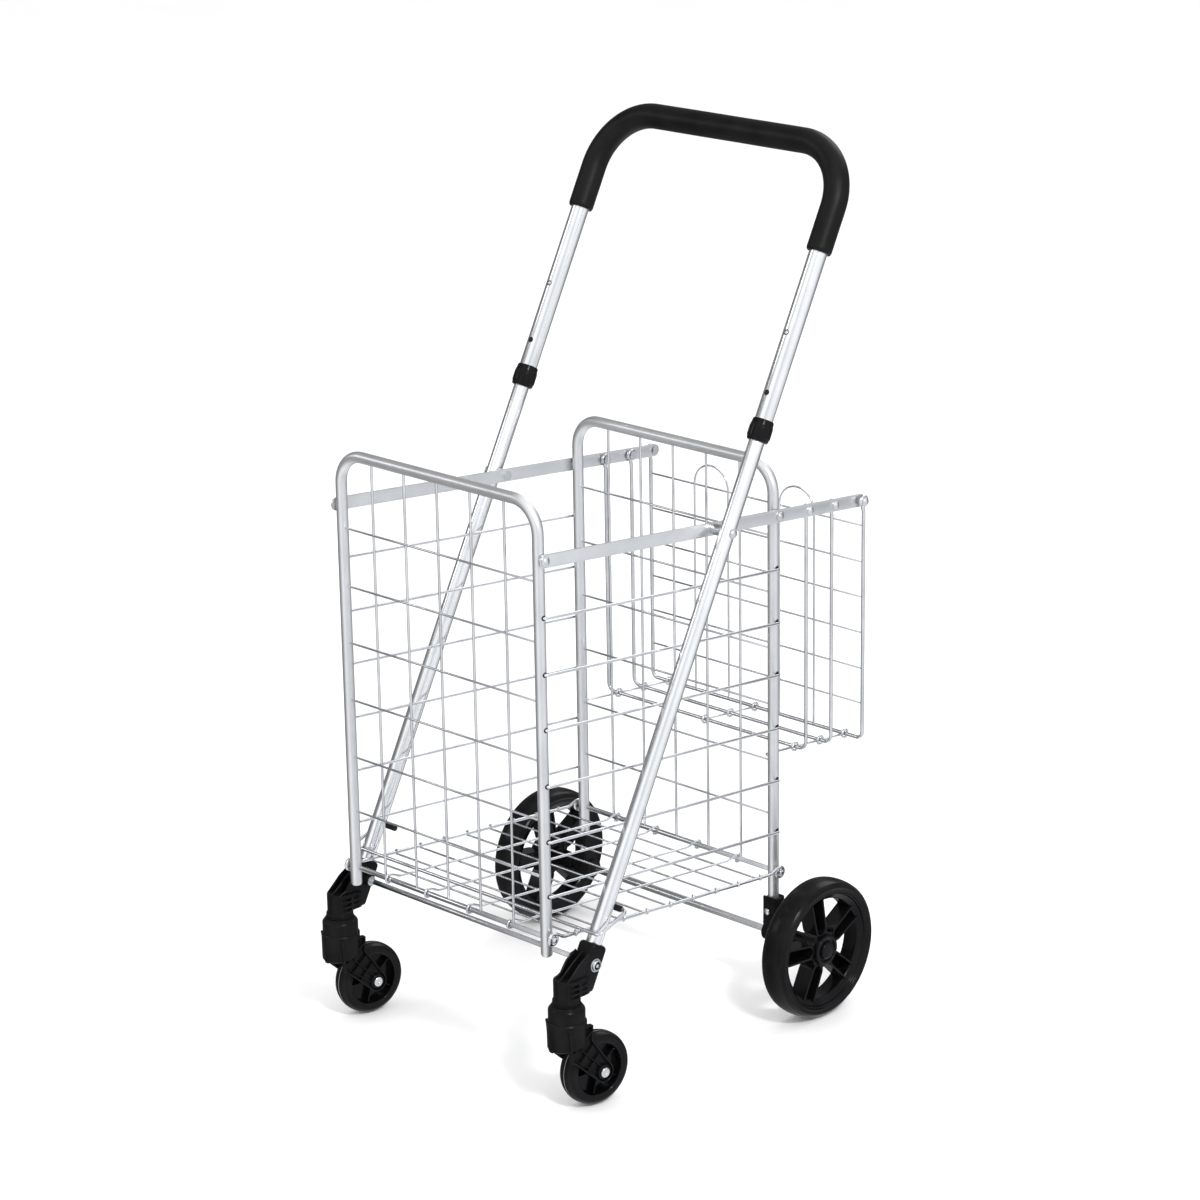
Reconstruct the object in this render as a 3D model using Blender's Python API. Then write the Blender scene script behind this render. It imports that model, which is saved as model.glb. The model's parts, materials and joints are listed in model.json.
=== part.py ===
"""Two-basket folding shopping trolley: tube frames, wire panels, a sliding handle and four wheels.

Lengths are in metres.  X runs across the trolley, -Y is its front (the caster end), +Y its rear
(the handle and the small basket) and Z is up, with the floor at z = 0.  The centre of the
trolley's footprint is at x = 0, y = 0.
"""

import math

import bmesh
import bpy
from mathutils import Matrix
from mathutils import Vector

for old in list(bpy.data.objects):
    bpy.data.objects.remove(old, do_unlink=True)

# ---------------------------------------------------------------- frames
GAP = 0.0003
LEG_X = 0.1533
LEG_R = 0.0065
FRONT_Y = -0.2508
REAR_Y = 0.1249
FRONT_FOOT_Z = 0.1760
FRONT_TOP_Z = 0.6924
REAR_TOP_Z = 0.6544
REAR_FOOT_Z = 0.1030
FRAME_CORNER_R = 0.035
# Every link between the front and the rear frame drops this much towards the rear.
LINK_DROP = 0.0358
LINK_SLOPE = LINK_DROP / (REAR_Y - FRONT_Y)
LINK_ANGLE = math.atan(LINK_SLOPE)
ROD_R = 0.003
ROD_END_X = 0.168
REAR_ROD_Z = 0.1627
FRONT_ROD_Z = REAR_ROD_Z + LINK_DROP

# ---------------------------------------------------------------- wire panels of the main basket
UPRIGHT_R = 0.0015
UPRIGHT_X = (-0.103, -0.0515, 0.0, 0.0515, 0.103)
RAIL_R = 0.00125
FRONT_RAIL_Z = (0.6063, 0.5385, 0.4715, 0.4035, 0.3348, 0.2689)
SIDE_WIRE_R = 0.00175
SIDE_WIRE_X = 0.1622
SIDE_WIRE_FRONT_Z = (0.5673, 0.5034, 0.4406, 0.3759, 0.3116, 0.2480)
FLOOR_WIRE_R = 0.0014
FLOOR_WIRE_X = (-0.098, -0.034, 0.034, 0.098)
FLOOR_EDGE_X = 0.1633
FLOOR_CROSS_R = 0.00115
FLOOR_CROSS_COUNT = 9
HOOK_R = 0.0048

# ---------------------------------------------------------------- flat bars and their pins
BAR_INNER_X = 0.1610
BAR_OUTER_X = 0.1635
BAR_HALF_HEIGHT = 0.0075
BAR_REAR_LEG_Z = 0.5951
PIN_R = 0.0025
PIVOT_Y = 0.0143
PIVOT_PIN_R = 0.003

# ---------------------------------------------------------------- small rear basket
WIRE_R = 0.0025
HOOP_X = 0.158
PANEL_X = 0.168
HOOP_Y = (0.1769, 0.2216)
PANEL_Y = 0.2664
BASKET_EYE_Z = 0.3035
PANEL_RAIL_Z = (0.5518, 0.5078, 0.4650, 0.4213, 0.3772, 0.3341)
PANEL_RAIL_R = 0.0011
LINK_X = 0.1415
LINK_WIRE_R = 0.0015

# ---------------------------------------------------------------- handle
HANDLE_X = 0.1832
HANDLE_TILT = math.radians(27.9)
LOWER_TUBE_R = 0.008
LOWER_BORE_R = 0.0068
UPPER_TUBE_R = 0.0095
UPPER_BORE_R = 0.0086
# Distances along the handle tube, measured from the pivot pin, positive towards the grip.
SOCKET_TOP_S = -0.4740
TUBE_FOOT_S = -0.4920
LOWER_TUBE_TOP_S = 0.300
COLLAR_S = (0.1058, 0.1310)
BUTTON_S = (0.160, 0.230)
GRIP_START_S = 0.3262
HANDLE_TOP_S = 0.4484
HANDLE_CORNER_R = 0.07
COLLAR_R = 0.012
GRIP_R = 0.0135

# ---------------------------------------------------------------- casters
SWIVEL_Y = -0.2519
CASTER_R = 0.0425
CASTER_TRAIL = 0.0365
CASTER_YAW = math.radians(-8.0)
CASTER_HALF_WIDTH = 0.012
BARREL_TOP_Z = 0.129
BARREL_R = 0.022

# ---------------------------------------------------------------- rear wheels
WHEEL_R = 0.083
AXLE_Y = 0.1281
AXLE_R = 0.004
WHEEL_MID_X = 0.218
TYRE_SEAT_R = 0.0731

# ---------------------------------------------------------------- latch bail
BAIL_R = 0.002
BAIL_Y = -0.2139
BAIL_Z = 0.2015
BAIL_ARM_X = 0.198
BAIL_TIP_Y = -0.1699
BAIL_TIP_Z = 0.2165
BAIL_TIP_R = 0.0037

TROLLEY = bpy.data.collections.new("folding_shopping_trolley")
bpy.context.scene.collection.children.link(TROLLEY)
CUTTERS = bpy.data.collections.new("cutters")
bpy.context.scene.collection.children.link(CUTTERS)
CUTTERS.hide_render = True


# ================================================================ materials
def material(name, colour, metallic, roughness):
    made = bpy.data.materials.new(name)
    made.use_nodes = True
    shader = made.node_tree.nodes["Principled BSDF"]
    shader.inputs["Base Color"].default_value = (*colour, 1.0)
    shader.inputs["Metallic"].default_value = metallic
    shader.inputs["Roughness"].default_value = roughness
    return made


FRAME_SILVER = material("frame_silver", (0.68, 0.69, 0.70), 0.8, 0.38)
HANDLE_SILVER = material("handle_silver", (0.74, 0.75, 0.77), 0.9, 0.25)
WIRE_ZINC = material("wire_zinc", (0.62, 0.63, 0.65), 0.9, 0.30)
BAR_SILVER = material("bar_silver", (0.72, 0.73, 0.74), 0.8, 0.40)
BOLT_ZINC = material("bolt_zinc", (0.60, 0.61, 0.62), 1.0, 0.28)
GRIP_FOAM = material("grip_foam", (0.02, 0.02, 0.021), 0.0, 0.80)
BLACK_GLOSS = material("black_gloss", (0.015, 0.015, 0.016), 0.0, 0.22)
BLACK_PLASTIC = material("black_plastic", (0.02, 0.02, 0.021), 0.0, 0.42)
WHEEL_PLASTIC = material("wheel_plastic", (0.018, 0.018, 0.019), 0.0, 0.30)
TYRE_RUBBER = material("tyre_rubber", (0.022, 0.022, 0.023), 0.0, 0.62)


# ================================================================ paths
def rounded(corners, radius, steps=5):
    """The polyline through these corners, with each inner corner turned into an arc."""
    places = [Vector(corner) for corner in corners]
    path = [places[0]]
    for before, corner, after in zip(places, places[1:], places[2:]):
        back = (before - corner).normalized()
        ahead = (after - corner).normalized()
        half = back.angle(ahead) / 2
        start = corner + back * radius / math.tan(half)
        end = corner + ahead * radius / math.tan(half)
        centre = corner + (back + ahead).normalized() * radius / math.sin(half)
        axis = (start - centre).cross(end - centre).normalized()
        for step in range(steps + 1):
            turn = Matrix.Rotation((math.pi - 2 * half) * step / steps, 3, axis)
            path.append(centre + turn @ (start - centre))
    path.append(places[-1])
    return path


def circle_in_yz(x, y, z, radius, count=8):
    """A closed round path in a plane across X."""
    path = []
    for step in range(count):
        angle = math.tau * step / count
        path.append(Vector((x, y + radius * math.cos(angle), z + radius * math.sin(angle))))
    return path


def mirrored(path):
    return [Vector((-place[0], place[1], place[2])) for place in path]


def on_handle(s, out=0.0, x=HANDLE_X):
    """A point s up the handle tube from its pivot, and out in front of the tube's axis."""
    pivot_z = BAR_REAR_LEG_Z + (REAR_Y - PIVOT_Y) * LINK_SLOPE
    along = Vector((0.0, math.sin(HANDLE_TILT), math.cos(HANDLE_TILT)))
    front = Vector((0.0, -math.cos(HANDLE_TILT), math.sin(HANDLE_TILT)))
    return Vector((x, PIVOT_Y, pivot_z)) + along * s + front * out


def link_z(rear_leg_z, y):
    """The height at y of a link whose pivot on the rear leg is at this height."""
    return rear_leg_z + (REAR_Y - y) * LINK_SLOPE


# ================================================================ solids
def tidy(work):
    bmesh.ops.remove_doubles(work, verts=work.verts, dist=0.000001)
    bmesh.ops.recalc_face_normals(work, faces=work.faces)
    mesh = bpy.data.meshes.new("solid")
    work.to_mesh(mesh)
    work.free()
    return mesh


def swept(paths, radius, resolution=1, cyclic=False):
    """A mesh of round rods along these paths, with flat filled ends."""
    curve = bpy.data.curves.new("path", "CURVE")
    curve.dimensions = "3D"
    curve.bevel_depth = radius
    curve.bevel_resolution = resolution
    curve.use_fill_caps = True
    for path in paths:
        spline = curve.splines.new("POLY")
        spline.points.add(len(path) - 1)
        spline.use_cyclic_u = cyclic
        for point, place in zip(spline.points, path):
            point.co = (place[0], place[1], place[2], 1.0)
    holder = bpy.data.objects.new("path", curve)
    bpy.context.scene.collection.objects.link(holder)
    bpy.context.view_layer.update()
    raw = bpy.data.meshes.new_from_object(holder)
    work = bmesh.new()
    work.from_mesh(raw)
    bpy.data.objects.remove(holder, do_unlink=True)
    bpy.data.meshes.remove(raw)
    return tidy(work)


def lathe(outline, segments, start=0.0):
    """A solid of revolution about X from (x, radius) points; a closed outline gives a ring."""
    work = bmesh.new()
    first = [work.verts.new((x, 0.0, radius)) for x, radius in outline]
    edges = [work.edges.new(pair) for pair in zip(first, first[1:])]
    if outline[0][1] > 0.0:
        edges.append(work.edges.new((first[-1], first[0])))
    bmesh.ops.rotate(work, verts=first, cent=(0, 0, 0), matrix=Matrix.Rotation(start, 3, "X"))
    bmesh.ops.spin(
        work,
        geom=first + edges,
        cent=(0, 0, 0),
        axis=(1, 0, 0),
        angle=math.tau,
        steps=segments,
        use_merge=True,
    )
    return tidy(work)


def plate(outline, x0, x1):
    """A flat plate between two x planes from an outline of (y, z) points."""
    work = bmesh.new()
    face = work.faces.new([work.verts.new((x0, y, z)) for y, z in outline])
    grown = bmesh.ops.extrude_face_region(work, geom=[face])
    moved = [item for item in grown["geom"] if isinstance(item, bmesh.types.BMVert)]
    bmesh.ops.translate(work, verts=moved, vec=(x1 - x0, 0, 0))
    return tidy(work)


def block(size, centre, bevel=0.0, turn=None):
    """A box with evenly bevelled edges."""
    work = bmesh.new()
    bmesh.ops.create_cube(work, size=1.0)
    bmesh.ops.scale(work, vec=size, verts=work.verts)
    if bevel > 0:
        bmesh.ops.bevel(
            work, geom=list(work.edges), offset=bevel, segments=1, profile=0.5, affect="EDGES"
        )
    if turn is not None:
        bmesh.ops.rotate(work, verts=work.verts, cent=(0, 0, 0), matrix=turn)
    bmesh.ops.translate(work, verts=work.verts, vec=centre)
    return tidy(work)


def joined(*meshes):
    """Several meshes that stand clear of each other, as one."""
    work = bmesh.new()
    for mesh in meshes:
        work.from_mesh(mesh)
    return tidy(work)


def moved(mesh, matrix):
    mesh.transform(matrix)
    return mesh


def link(name, mesh, home, origin):
    mesh.transform(Matrix.Translation(-Vector(origin)))
    made = bpy.data.objects.new(name, mesh)
    made.location = origin
    home.objects.link(made)
    return made


def part(name, mesh, paint, origin=(0, 0, 0), adds=(), cuts=(), pins=()):
    """One piece: its solids are joined, then cut, then the pins are joined to what is left."""
    made = link(name, mesh, TROLLEY, origin)
    made.data.materials.append(paint)
    groups = (("add", "UNION", adds), ("cut", "DIFFERENCE", cuts), ("pin", "UNION", pins))
    for word, operation, solids in groups:
        for count, solid in enumerate(solids):
            helper = link(f"{name}_{word}_{count}", solid, CUTTERS, origin)
            helper.hide_render = True
            helper.display_type = "WIRE"
            step = made.modifiers.new(f"{word}_{count}", "BOOLEAN")
            step.operation = operation
            step.solver = "EXACT"
            step.object = helper
    return made


def across(places, radius, half_length, sides=8):
    """Round pegs along X, one at each (x, y, z)."""
    work = bmesh.new()
    for place in places:
        turn = Matrix.Rotation(math.pi / 2, 4, "Y") @ Matrix.Rotation(0.17, 4, "Z")
        bmesh.ops.create_cone(
            work,
            cap_ends=True,
            segments=sides,
            radius1=radius,
            radius2=radius,
            depth=2 * half_length,
            matrix=Matrix.Translation(place) @ turn,
        )
    return tidy(work)


# ================================================================ the two tube frames
BAR_FRONT_Z = link_z(BAR_REAR_LEG_Z, FRONT_Y)
SIDE_WIRE_REAR_Z = [z - LINK_DROP for z in SIDE_WIRE_FRONT_Z]


def frame_tube(name, y, foot_z, top_z, holes, origin):
    path = rounded(
        [
            (-LEG_X, y, foot_z),
            (-LEG_X, y, top_z),
            (LEG_X, y, top_z),
            (LEG_X, y, foot_z),
        ],
        FRAME_CORNER_R,
        5,
    )
    cutters = []
    for z, radius in holes:
        cutters.append(across([(-LEG_X, y, z), (LEG_X, y, z)], radius, 0.0095))
    return part(name, swept([path], LEG_R, 4), FRAME_SILVER, origin, cuts=[joined(*cutters)])


def frame_panel(name, y, rod_z, top_z, rails, origin):
    uprights = []
    for x in UPRIGHT_X:
        uprights.append(
            [Vector((x, y, rod_z + ROD_R + GAP)), Vector((x, y, top_z - LEG_R - GAP))]
        )
    bars = []
    half = LEG_X - LEG_R - GAP
    for z in rails:
        rail_y = y - UPRIGHT_R - RAIL_R + 0.001
        bars.append([Vector((-half, rail_y, z)), Vector((half, rail_y, z))])
    return part(name, swept(uprights, UPRIGHT_R), WIRE_ZINC, origin, adds=[swept(bars, RAIL_R)])


def frame_rod(name, y, z, origin):
    rod = swept([[Vector((-ROD_END_X, y, z)), Vector((ROD_END_X, y, z))]], ROD_R, 4)
    return part(name, rod, WIRE_ZINC, origin)


PIVOT_REAR = (0.0, REAR_Y, BAR_REAR_LEG_Z)
PIVOT_FRONT = (0.0, FRONT_Y, BAR_FRONT_Z)

front_holes = [(z, 0.0024) for z in SIDE_WIRE_FRONT_Z]
front_holes += [(BAR_FRONT_Z, 0.0029), (FRONT_ROD_Z, 0.0035)]
frame_tube("front_frame_tube", FRONT_Y, FRONT_FOOT_Z, FRONT_TOP_Z, front_holes, PIVOT_FRONT)
frame_panel("front_wire_panel", FRONT_Y, FRONT_ROD_Z, FRONT_TOP_Z, FRONT_RAIL_Z, PIVOT_FRONT)
frame_rod("front_bottom_rod", FRONT_Y, FRONT_ROD_Z, PIVOT_FRONT)

rear_holes = [(z, 0.0024) for z in SIDE_WIRE_REAR_Z]
rear_holes += [(BAR_REAR_LEG_Z, 0.0029), (REAR_ROD_Z, 0.0035), (BASKET_EYE_Z, 0.0021)]
frame_tube("rear_frame_tube", REAR_Y, REAR_FOOT_Z, REAR_TOP_Z, rear_holes, PIVOT_REAR)
rear_rails = [z - LINK_DROP for z in FRONT_RAIL_Z]
frame_panel("rear_wire_panel", REAR_Y, REAR_ROD_Z, REAR_TOP_Z, rear_rails, PIVOT_REAR)
frame_rod("rear_bottom_rod", REAR_Y, REAR_ROD_Z, PIVOT_REAR)


# ================================================================ side wires of the main basket
def side_wire(name, side, rear_z):
    front_z = rear_z + LINK_DROP
    inner = LEG_X - 0.0015
    path = rounded(
        [
            (inner, REAR_Y, rear_z),
            (SIDE_WIRE_X, REAR_Y, rear_z),
            (SIDE_WIRE_X, FRONT_Y, front_z),
            (inner, FRONT_Y, front_z),
        ],
        0.0026,
        2,
    )
    if side < 0:
        path = mirrored(path)
    return part(name, swept([path], SIDE_WIRE_R), WIRE_ZINC, (0.0, REAR_Y, rear_z))


for level, height in enumerate(SIDE_WIRE_REAR_Z, start=1):
    side_wire(f"side_wire_{level}_right", 1, height)
    side_wire(f"side_wire_{level}_left", -1, height)


# ================================================================ hinged wire floor
FLOOR_LENGTH = math.hypot(REAR_Y - FRONT_Y, LINK_DROP)


def on_floor(x, s, n):
    """A point s forward of the rear bottom rod along the floor, and n above its plane."""
    cos = math.cos(LINK_ANGLE)
    sin = math.sin(LINK_ANGLE)
    return Vector((x, REAR_Y - s * cos + n * sin, REAR_ROD_Z + s * sin + n * cos))


def floor_wire(x):
    """One floor wire: it rises over each rod and curls round it."""
    local = []
    for step in range(8):
        angle = math.radians(-150 + 240 * step / 7)
        local.append((-HOOK_R * math.cos(angle), HOOK_R * math.sin(angle)))
    local += [(0.006, 0.0040), (0.012, 0.0016), (0.020, 0.0)]
    rear = [on_floor(x, s, n) for s, n in local]
    front = [on_floor(x, FLOOR_LENGTH - s, n) for s, n in reversed(local)]
    return rear + front


floor_rods = []
for x in FLOOR_WIRE_X:
    floor_rods.append(floor_wire(x))
floor_edges = [floor_wire(-FLOOR_EDGE_X), floor_wire(FLOOR_EDGE_X)]
cross_wires = []
for count in range(FLOOR_CROSS_COUNT):
    s = 0.035 + 0.0384 * count
    depth = -(FLOOR_WIRE_R + FLOOR_CROSS_R - 0.0008)
    cross_wires.append([on_floor(-0.1650, s, depth), on_floor(0.1650, s, depth)])
part(
    "floor_wire_mesh",
    joined(swept(floor_rods, FLOOR_WIRE_R), swept(floor_edges, 0.0016)),
    WIRE_ZINC,
    (0.0, REAR_Y, REAR_ROD_Z),
    adds=[swept(cross_wires, FLOOR_CROSS_R, 0)],
)


# ================================================================ flat bars and their pins
BAR_POINTS = {
    "front": FRONT_Y,
    "handle": PIVOT_Y,
    "rear": REAR_Y,
    "hoop_1": HOOP_Y[0],
    "hoop_2": HOOP_Y[1],
    "panel": PANEL_Y,
}


def flat_bar(name, side):
    outline = []
    ends = ((FRONT_Y, 1), (PANEL_Y, -1))
    for y, end in ends:
        z = link_z(BAR_REAR_LEG_Z, y)
        for step in range(7):
            angle = math.pi / 2 + math.pi * step / 6 - LINK_ANGLE
            if end < 0:
                angle += math.pi
            outline.append(
                (y + BAR_HALF_HEIGHT * math.cos(angle), z + BAR_HALF_HEIGHT * math.sin(angle))
            )
    holes = []
    for point, y in BAR_POINTS.items():
        radius = 0.0035 if point == "handle" else 0.0029
        place = (side * (BAR_INNER_X + BAR_OUTER_X) / 2, y, link_z(BAR_REAR_LEG_Z, y))
        holes.append(across([place], radius, 0.004))
    x0, x1 = sorted((side * BAR_INNER_X, side * BAR_OUTER_X))
    return part(name, plate(outline, x0, x1), BAR_SILVER, PIVOT_REAR, cuts=[joined(*holes)])


def pin_outline(pieces):
    """An (x, radius) outline from the axis and back, head first: (x0, x1, radius) steps."""
    outline = [(pieces[0][0], 0.0)]
    for x0, x1, radius in pieces:
        outline += [(x0, radius), (x1, radius)]
    outline.append((pieces[-1][1], 0.0))
    return outline


def pin(name, side, y, steps, origin):
    outline = pin_outline(steps)
    mesh = lathe(outline, 12)
    mesh.transform(Matrix.Translation((0.0, y, link_z(BAR_REAR_LEG_Z, y))))
    if side < 0:
        mesh.transform(Matrix.Diagonal((-1.0, 1.0, 1.0, 1.0)))
        mesh.flip_normals()
    return part(name, mesh, BOLT_ZINC, origin)


HEAD_X = BAR_OUTER_X + GAP
for side, label in ((1, "right"), (-1, "left")):
    flat_bar(f"flat_bar_{label}", side)
    leg_steps = [(LEG_X - 0.004, HEAD_X, PIN_R), (HEAD_X, HEAD_X + 0.0020, 0.0052)]
    leg_steps.append((HEAD_X + 0.0020, HEAD_X + 0.0032, 0.0034))
    pin(f"front_leg_bolt_{label}", side, FRONT_Y, leg_steps, PIVOT_FRONT)
    pin(f"rear_leg_bolt_{label}", side, REAR_Y, leg_steps, PIVOT_REAR)
    handle_steps = [
        (BAR_INNER_X - 0.0028, BAR_INNER_X - GAP, 0.0055),
        (BAR_INNER_X - GAP, HEAD_X, PIVOT_PIN_R),
        (HEAD_X, HANDLE_X - LOWER_TUBE_R - GAP, 0.0062),
        (HANDLE_X - LOWER_TUBE_R - GAP, HANDLE_X + LOWER_TUBE_R + GAP, PIVOT_PIN_R),
        (HANDLE_X + LOWER_TUBE_R + GAP, HANDLE_X + LOWER_TUBE_R + 0.0035, 0.0055),
    ]
    pin(f"handle_bolt_{label}", side, PIVOT_Y, handle_steps, PIVOT_REAR)
    hoop_steps = [
        (HOOP_X - 0.0045, HOOP_X - 0.0025, 0.0055),
        (HOOP_X - 0.0025, HEAD_X, PIN_R),
        (HEAD_X, HEAD_X + 0.0020, 0.0052),
        (HEAD_X + 0.0020, HEAD_X + 0.0032, 0.0034),
    ]
    pin(f"hoop_1_bolt_{label}", side, HOOP_Y[0], hoop_steps, PIVOT_REAR)
    pin(f"hoop_2_bolt_{label}", side, HOOP_Y[1], hoop_steps, PIVOT_REAR)
    panel_steps = [
        (BAR_INNER_X - 0.0025, BAR_INNER_X - GAP, 0.0052),
        (BAR_INNER_X - GAP, PANEL_X + 0.0025, PIN_R),
        (PANEL_X + 0.0025, PANEL_X + 0.0045, 0.0052),
    ]
    pin(f"panel_bolt_{label}", side, PANEL_Y, panel_steps, PIVOT_REAR)


# ================================================================ small rear basket
EYE_R = 0.0053
EYE_WIRE_R = 0.0020


def eyes(x, y, z):
    rings = []
    for side in (-1, 1):
        rings.append(circle_in_yz(side * x, y, z, EYE_R))
    return swept(rings, EYE_WIRE_R, cyclic=True)


def wire_loop(x, y, bolt_z, bottom_z, corner):
    top = bolt_z - EYE_R + 0.0006
    corners = [(-x, y, top), (-x, y, bottom_z), (x, y, bottom_z), (x, y, top)]
    return swept([rounded(corners, corner, 5)], WIRE_R)


for number, y in enumerate(HOOP_Y, start=1):
    bolt_z = link_z(BAR_REAR_LEG_Z, y)
    part(
        f"basket_hoop_{number}",
        wire_loop(HOOP_X, y, bolt_z, link_z(BASKET_EYE_Z, y), 0.010),
        WIRE_ZINC,
        (0.0, y, bolt_z),
        adds=[eyes(HOOP_X, y, bolt_z)],
    )

panel_bolt_z = link_z(BAR_REAR_LEG_Z, PANEL_Y)
panel_bottom_z = link_z(BASKET_EYE_Z, PANEL_Y)
rails = []
for z in PANEL_RAIL_Z:
    rails.append([Vector((-PANEL_X + 0.0012, PANEL_Y, z)), Vector((PANEL_X - 0.0012, PANEL_Y, z))])
arcs = []
for centre in (-0.0676, 0.0676):
    bend = 0.027
    crown_z = 0.5800
    upright_y = PANEL_Y - 0.0014
    foot = panel_bottom_z + 0.0010
    path = [Vector((centre - bend, upright_y, foot))]
    for step in range(9):
        angle = math.pi - math.pi * step / 8
        up = crown_z - bend + bend * math.sin(angle)
        path.append(Vector((centre + bend * math.cos(angle), upright_y, up)))
    path.append(Vector((centre + bend, upright_y, foot)))
    arcs.append(path)
part(
    "rear_basket_panel",
    wire_loop(PANEL_X, PANEL_Y, panel_bolt_z, panel_bottom_z, 0.008),
    WIRE_ZINC,
    (0.0, PANEL_Y, panel_bolt_z),
    adds=[
        eyes(PANEL_X, PANEL_Y, panel_bolt_z),
        swept(rails, PANEL_RAIL_R),
        swept(arcs, 0.0012),
    ],
)

LINK_EYE_R = 0.0047


def basket_link(name, x, stops, tail):
    """A wire whose eyes ride on the bottom bars of the hoops and of the rear panel."""
    rings = []
    for y in stops:
        rings.append(circle_in_yz(x, y, link_z(BASKET_EYE_Z, y), LINK_EYE_R))
    cos = math.cos(LINK_ANGLE) * LINK_EYE_R
    sin = math.sin(LINK_ANGLE) * LINK_EYE_R
    runs = []
    for y0, y1 in zip(stops, stops[1:]):
        z0 = link_z(BASKET_EYE_Z, y0)
        z1 = link_z(BASKET_EYE_Z, y1)
        runs.append([Vector((x, y0 + cos, z0 - sin)), Vector((x, y1 - cos, z1 + sin))])
    if tail:
        y0 = stops[0]
        corners = [
            (math.copysign(LEG_X, x), REAR_Y, BASKET_EYE_Z),
            (x, REAR_Y, BASKET_EYE_Z),
            (x, y0 - cos, link_z(BASKET_EYE_Z, y0) + sin),
        ]
        runs.append(rounded(corners, 0.003, 4))
    part(
        name,
        swept(rings, LINK_WIRE_R, cyclic=True),
        WIRE_ZINC,
        (0.0, REAR_Y, BASKET_EYE_Z),
        adds=[swept(runs, LINK_WIRE_R)],
    )


LINK_STOPS = (HOOP_Y[0], HOOP_Y[1], PANEL_Y)
basket_link("basket_floor_link_right", LINK_X, LINK_STOPS, True)
basket_link("basket_floor_link_left", -LINK_X, LINK_STOPS, True)
basket_link("basket_floor_link_middle", 0.0, LINK_STOPS, False)


# ================================================================ handle
HANDLE_ORIGIN = tuple(on_handle(0.0, x=0.0))


def lower_tube(name, side):
    x = side * HANDLE_X
    tube = swept([[on_handle(TUBE_FOOT_S, x=x), on_handle(LOWER_TUBE_TOP_S, x=x)]], LOWER_TUBE_R, 4)
    bore = swept(
        [[on_handle(TUBE_FOOT_S - 0.01, x=x), on_handle(LOWER_TUBE_TOP_S + 0.01, x=x)]],
        LOWER_BORE_R,
        4,
    )
    pivot = across([tuple(on_handle(0.0, x=x))], 0.0035, 0.012)
    start = on_handle(BUTTON_S[1], LOWER_TUBE_R - 0.0018, x)
    button = swept([[start, on_handle(BUTTON_S[1], LOWER_TUBE_R, x)]], 0.0024, 2)
    return part(name, tube, HANDLE_SILVER, HANDLE_ORIGIN, adds=[button], cuts=[bore, pivot])


def handle_path(start_s):
    return rounded(
        [
            on_handle(start_s, x=-HANDLE_X),
            on_handle(HANDLE_TOP_S, x=-HANDLE_X),
            on_handle(HANDLE_TOP_S, x=HANDLE_X),
            on_handle(start_s, x=HANDLE_X),
        ],
        HANDLE_CORNER_R,
        5,
    )


lower_tube("handle_leg_right", 1)
lower_tube("handle_leg_left", -1)
button_holes = []
for x in (-HANDLE_X, HANDLE_X):
    for s in BUTTON_S:
        button_holes.append([on_handle(s, 0.004, x), on_handle(s, 0.014, x)])
UPPER_START_S = COLLAR_S[0] + 0.0025
part(
    "handle_upper_tube",
    swept([handle_path(UPPER_START_S)], UPPER_TUBE_R, 4),
    HANDLE_SILVER,
    HANDLE_ORIGIN,
    cuts=[
        swept([handle_path(UPPER_START_S - 0.01)], UPPER_BORE_R, 4),
        swept(button_holes, 0.0038, 2),
    ],
)
part(
    "handle_grip",
    swept([handle_path(GRIP_START_S)], GRIP_R, 4),
    GRIP_FOAM,
    HANDLE_ORIGIN,
    cuts=[swept([handle_path(GRIP_START_S - 0.01)], UPPER_TUBE_R + 0.0005, 4)],
)


def along_handle(mesh, x, s):
    """Turns a solid made along X so that it stands on the handle tube, starting at s."""
    frame = Matrix.Rotation(-HANDLE_TILT, 4, "X") @ Matrix.Rotation(-math.pi / 2, 4, "Y")
    mesh.transform(Matrix.Translation(on_handle(s, x=x)) @ frame)
    return mesh


def collar(name, side):
    length = COLLAR_S[1] - COLLAR_S[0]
    outline = [
        (0.0, 0.0101),
        (0.0, 0.0108),
        (0.0022, COLLAR_R),
        (length - 0.0030, COLLAR_R),
        (length, 0.0110),
        (length, 0.0101),
    ]
    mesh = along_handle(lathe(outline, 20), side * HANDLE_X, COLLAR_S[0])
    return part(name, mesh, BLACK_GLOSS, HANDLE_ORIGIN)


collar("handle_collar_right", 1)
collar("handle_collar_left", -1)


# ================================================================ caster sockets and cross rod
CROSS_ROD_Y = -0.2199
CROSS_ROD_Z = 0.1685


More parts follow.
